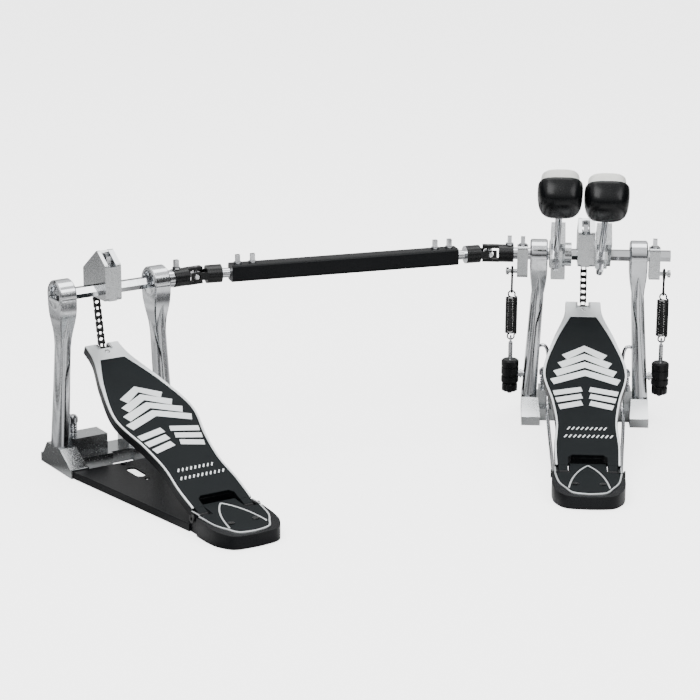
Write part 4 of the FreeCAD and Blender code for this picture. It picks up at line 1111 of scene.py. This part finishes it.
def set_camera():
    forward = Vector((math.sin(VIEW_AZIMUTH) * math.cos(VIEW_ELEVATION),
                      math.cos(VIEW_AZIMUTH) * math.cos(VIEW_ELEVATION), -math.sin(VIEW_ELEVATION)))
    right = Vector((math.cos(VIEW_AZIMUTH), -math.sin(VIEW_AZIMUTH), 0))
    up = right.cross(forward)
    image_right = right * math.cos(VIEW_ROLL) + up * math.sin(VIEW_ROLL)
    image_up = image_right.cross(forward)
    data = bpy.data.cameras.new("Camera")
    data.lens = LENS
    data.sensor_width = 36
    camera = bpy.data.objects.new("Camera", data)
    place = Matrix((image_right, image_up, -forward)).transposed().to_4x4()
    camera.matrix_world = Matrix.Translation(AIM - forward * VIEW_DISTANCE) @ place
    bpy.context.scene.collection.objects.link(camera)
    bpy.context.scene.camera = camera


def set_sky():
    """Bright overhead light that falls off to a dim horizon, so that the chrome keeps its contrast."""
    world = bpy.data.worlds.new("studio")
    bpy.context.scene.world = world
    world.use_nodes = True
    nodes, links = world.node_tree.nodes, world.node_tree.links
    split = nodes.new("ShaderNodeSeparateXYZ")
    links.new(nodes.new("ShaderNodeTexCoord").outputs["Generated"], split.inputs["Vector"])
    fall = nodes.new("ShaderNodeMapRange")
    for key, value in (("From Min", 0.0), ("From Max", 0.65), ("To Min", 0.12), ("To Max", 1.15)):
        fall.inputs[key].default_value = value
    links.new(split.outputs["Z"], fall.inputs["Value"])
    links.new(fall.outputs["Result"], nodes["Background"].inputs["Strength"])
    nodes["Background"].inputs["Color"].default_value = (1, 1, 1, 1)


def set_stage():
    """Pale floor, soft lights, and dark cards that the chrome can reflect."""
    depth = -0.5 * MM
    floor = [(-6, -6, depth), (6, -6, depth), (6, 6, depth), (-6, 6, depth)]
    stage_sheet("floor", floor, (0.05, 0.75))
    for name, corners in (
            ("card_left", [(-1.9, -1.2, 0.1), (-1.9, 0.9, 0.1), (-1.9, 0.9, 1.3), (-1.9, -1.2, 1.3)]),
            ("card_right", [(1.3, 0.9, 0.1), (1.3, -1.2, 0.1), (1.3, -1.2, 1.3), (1.3, 0.9, 1.3)]),
            ("card_front", [(-1.6, -3.4, 0.0), (1.0, -3.4, 0.0), (1.0, -3.4, 0.7), (-1.6, -3.4, 0.7)])):
        stage_sheet(name, corners, (0.02, 0.02))
    area_light("key", (-1.0, -1.6, 2.3), (-0.25, 0, 0.1), (1.4, 1.4), 46)
    area_light("fill", (1.1, -1.2, 1.4), (-0.1, 0, 0.1), (0.9, 1.2), 14)
    area_light("top", (-0.25, 0.3, 2.4), (-0.25, 0, 0), (2.0, 1.4), 34)
    set_sky()


# ---------------------------------------------------------------- build
dress_kept_nodes()
for pedal in PEDALS:
    make_posts(pedal)
    make_bearings(pedal)
    make_spurs(pedal)
    make_board(pedal)
    make_heel(pedal)
    make_hub_web(pedal)
    make_chain(pedal.prefix + "chain", strand_pins(pedal.toe_pin), pedal.matrix, pedal.chain)
    make_chain(pedal.prefix + "cam_chain", wrapped_pins(), pedal.matrix, pedal.rocker)
make_floor_plate()
make_radius_rods()
make_tension_gear()
for side_name in ("left", "right"):
    make_spring(side_name)
    make_beater(side_name)
set_stage()
set_camera()
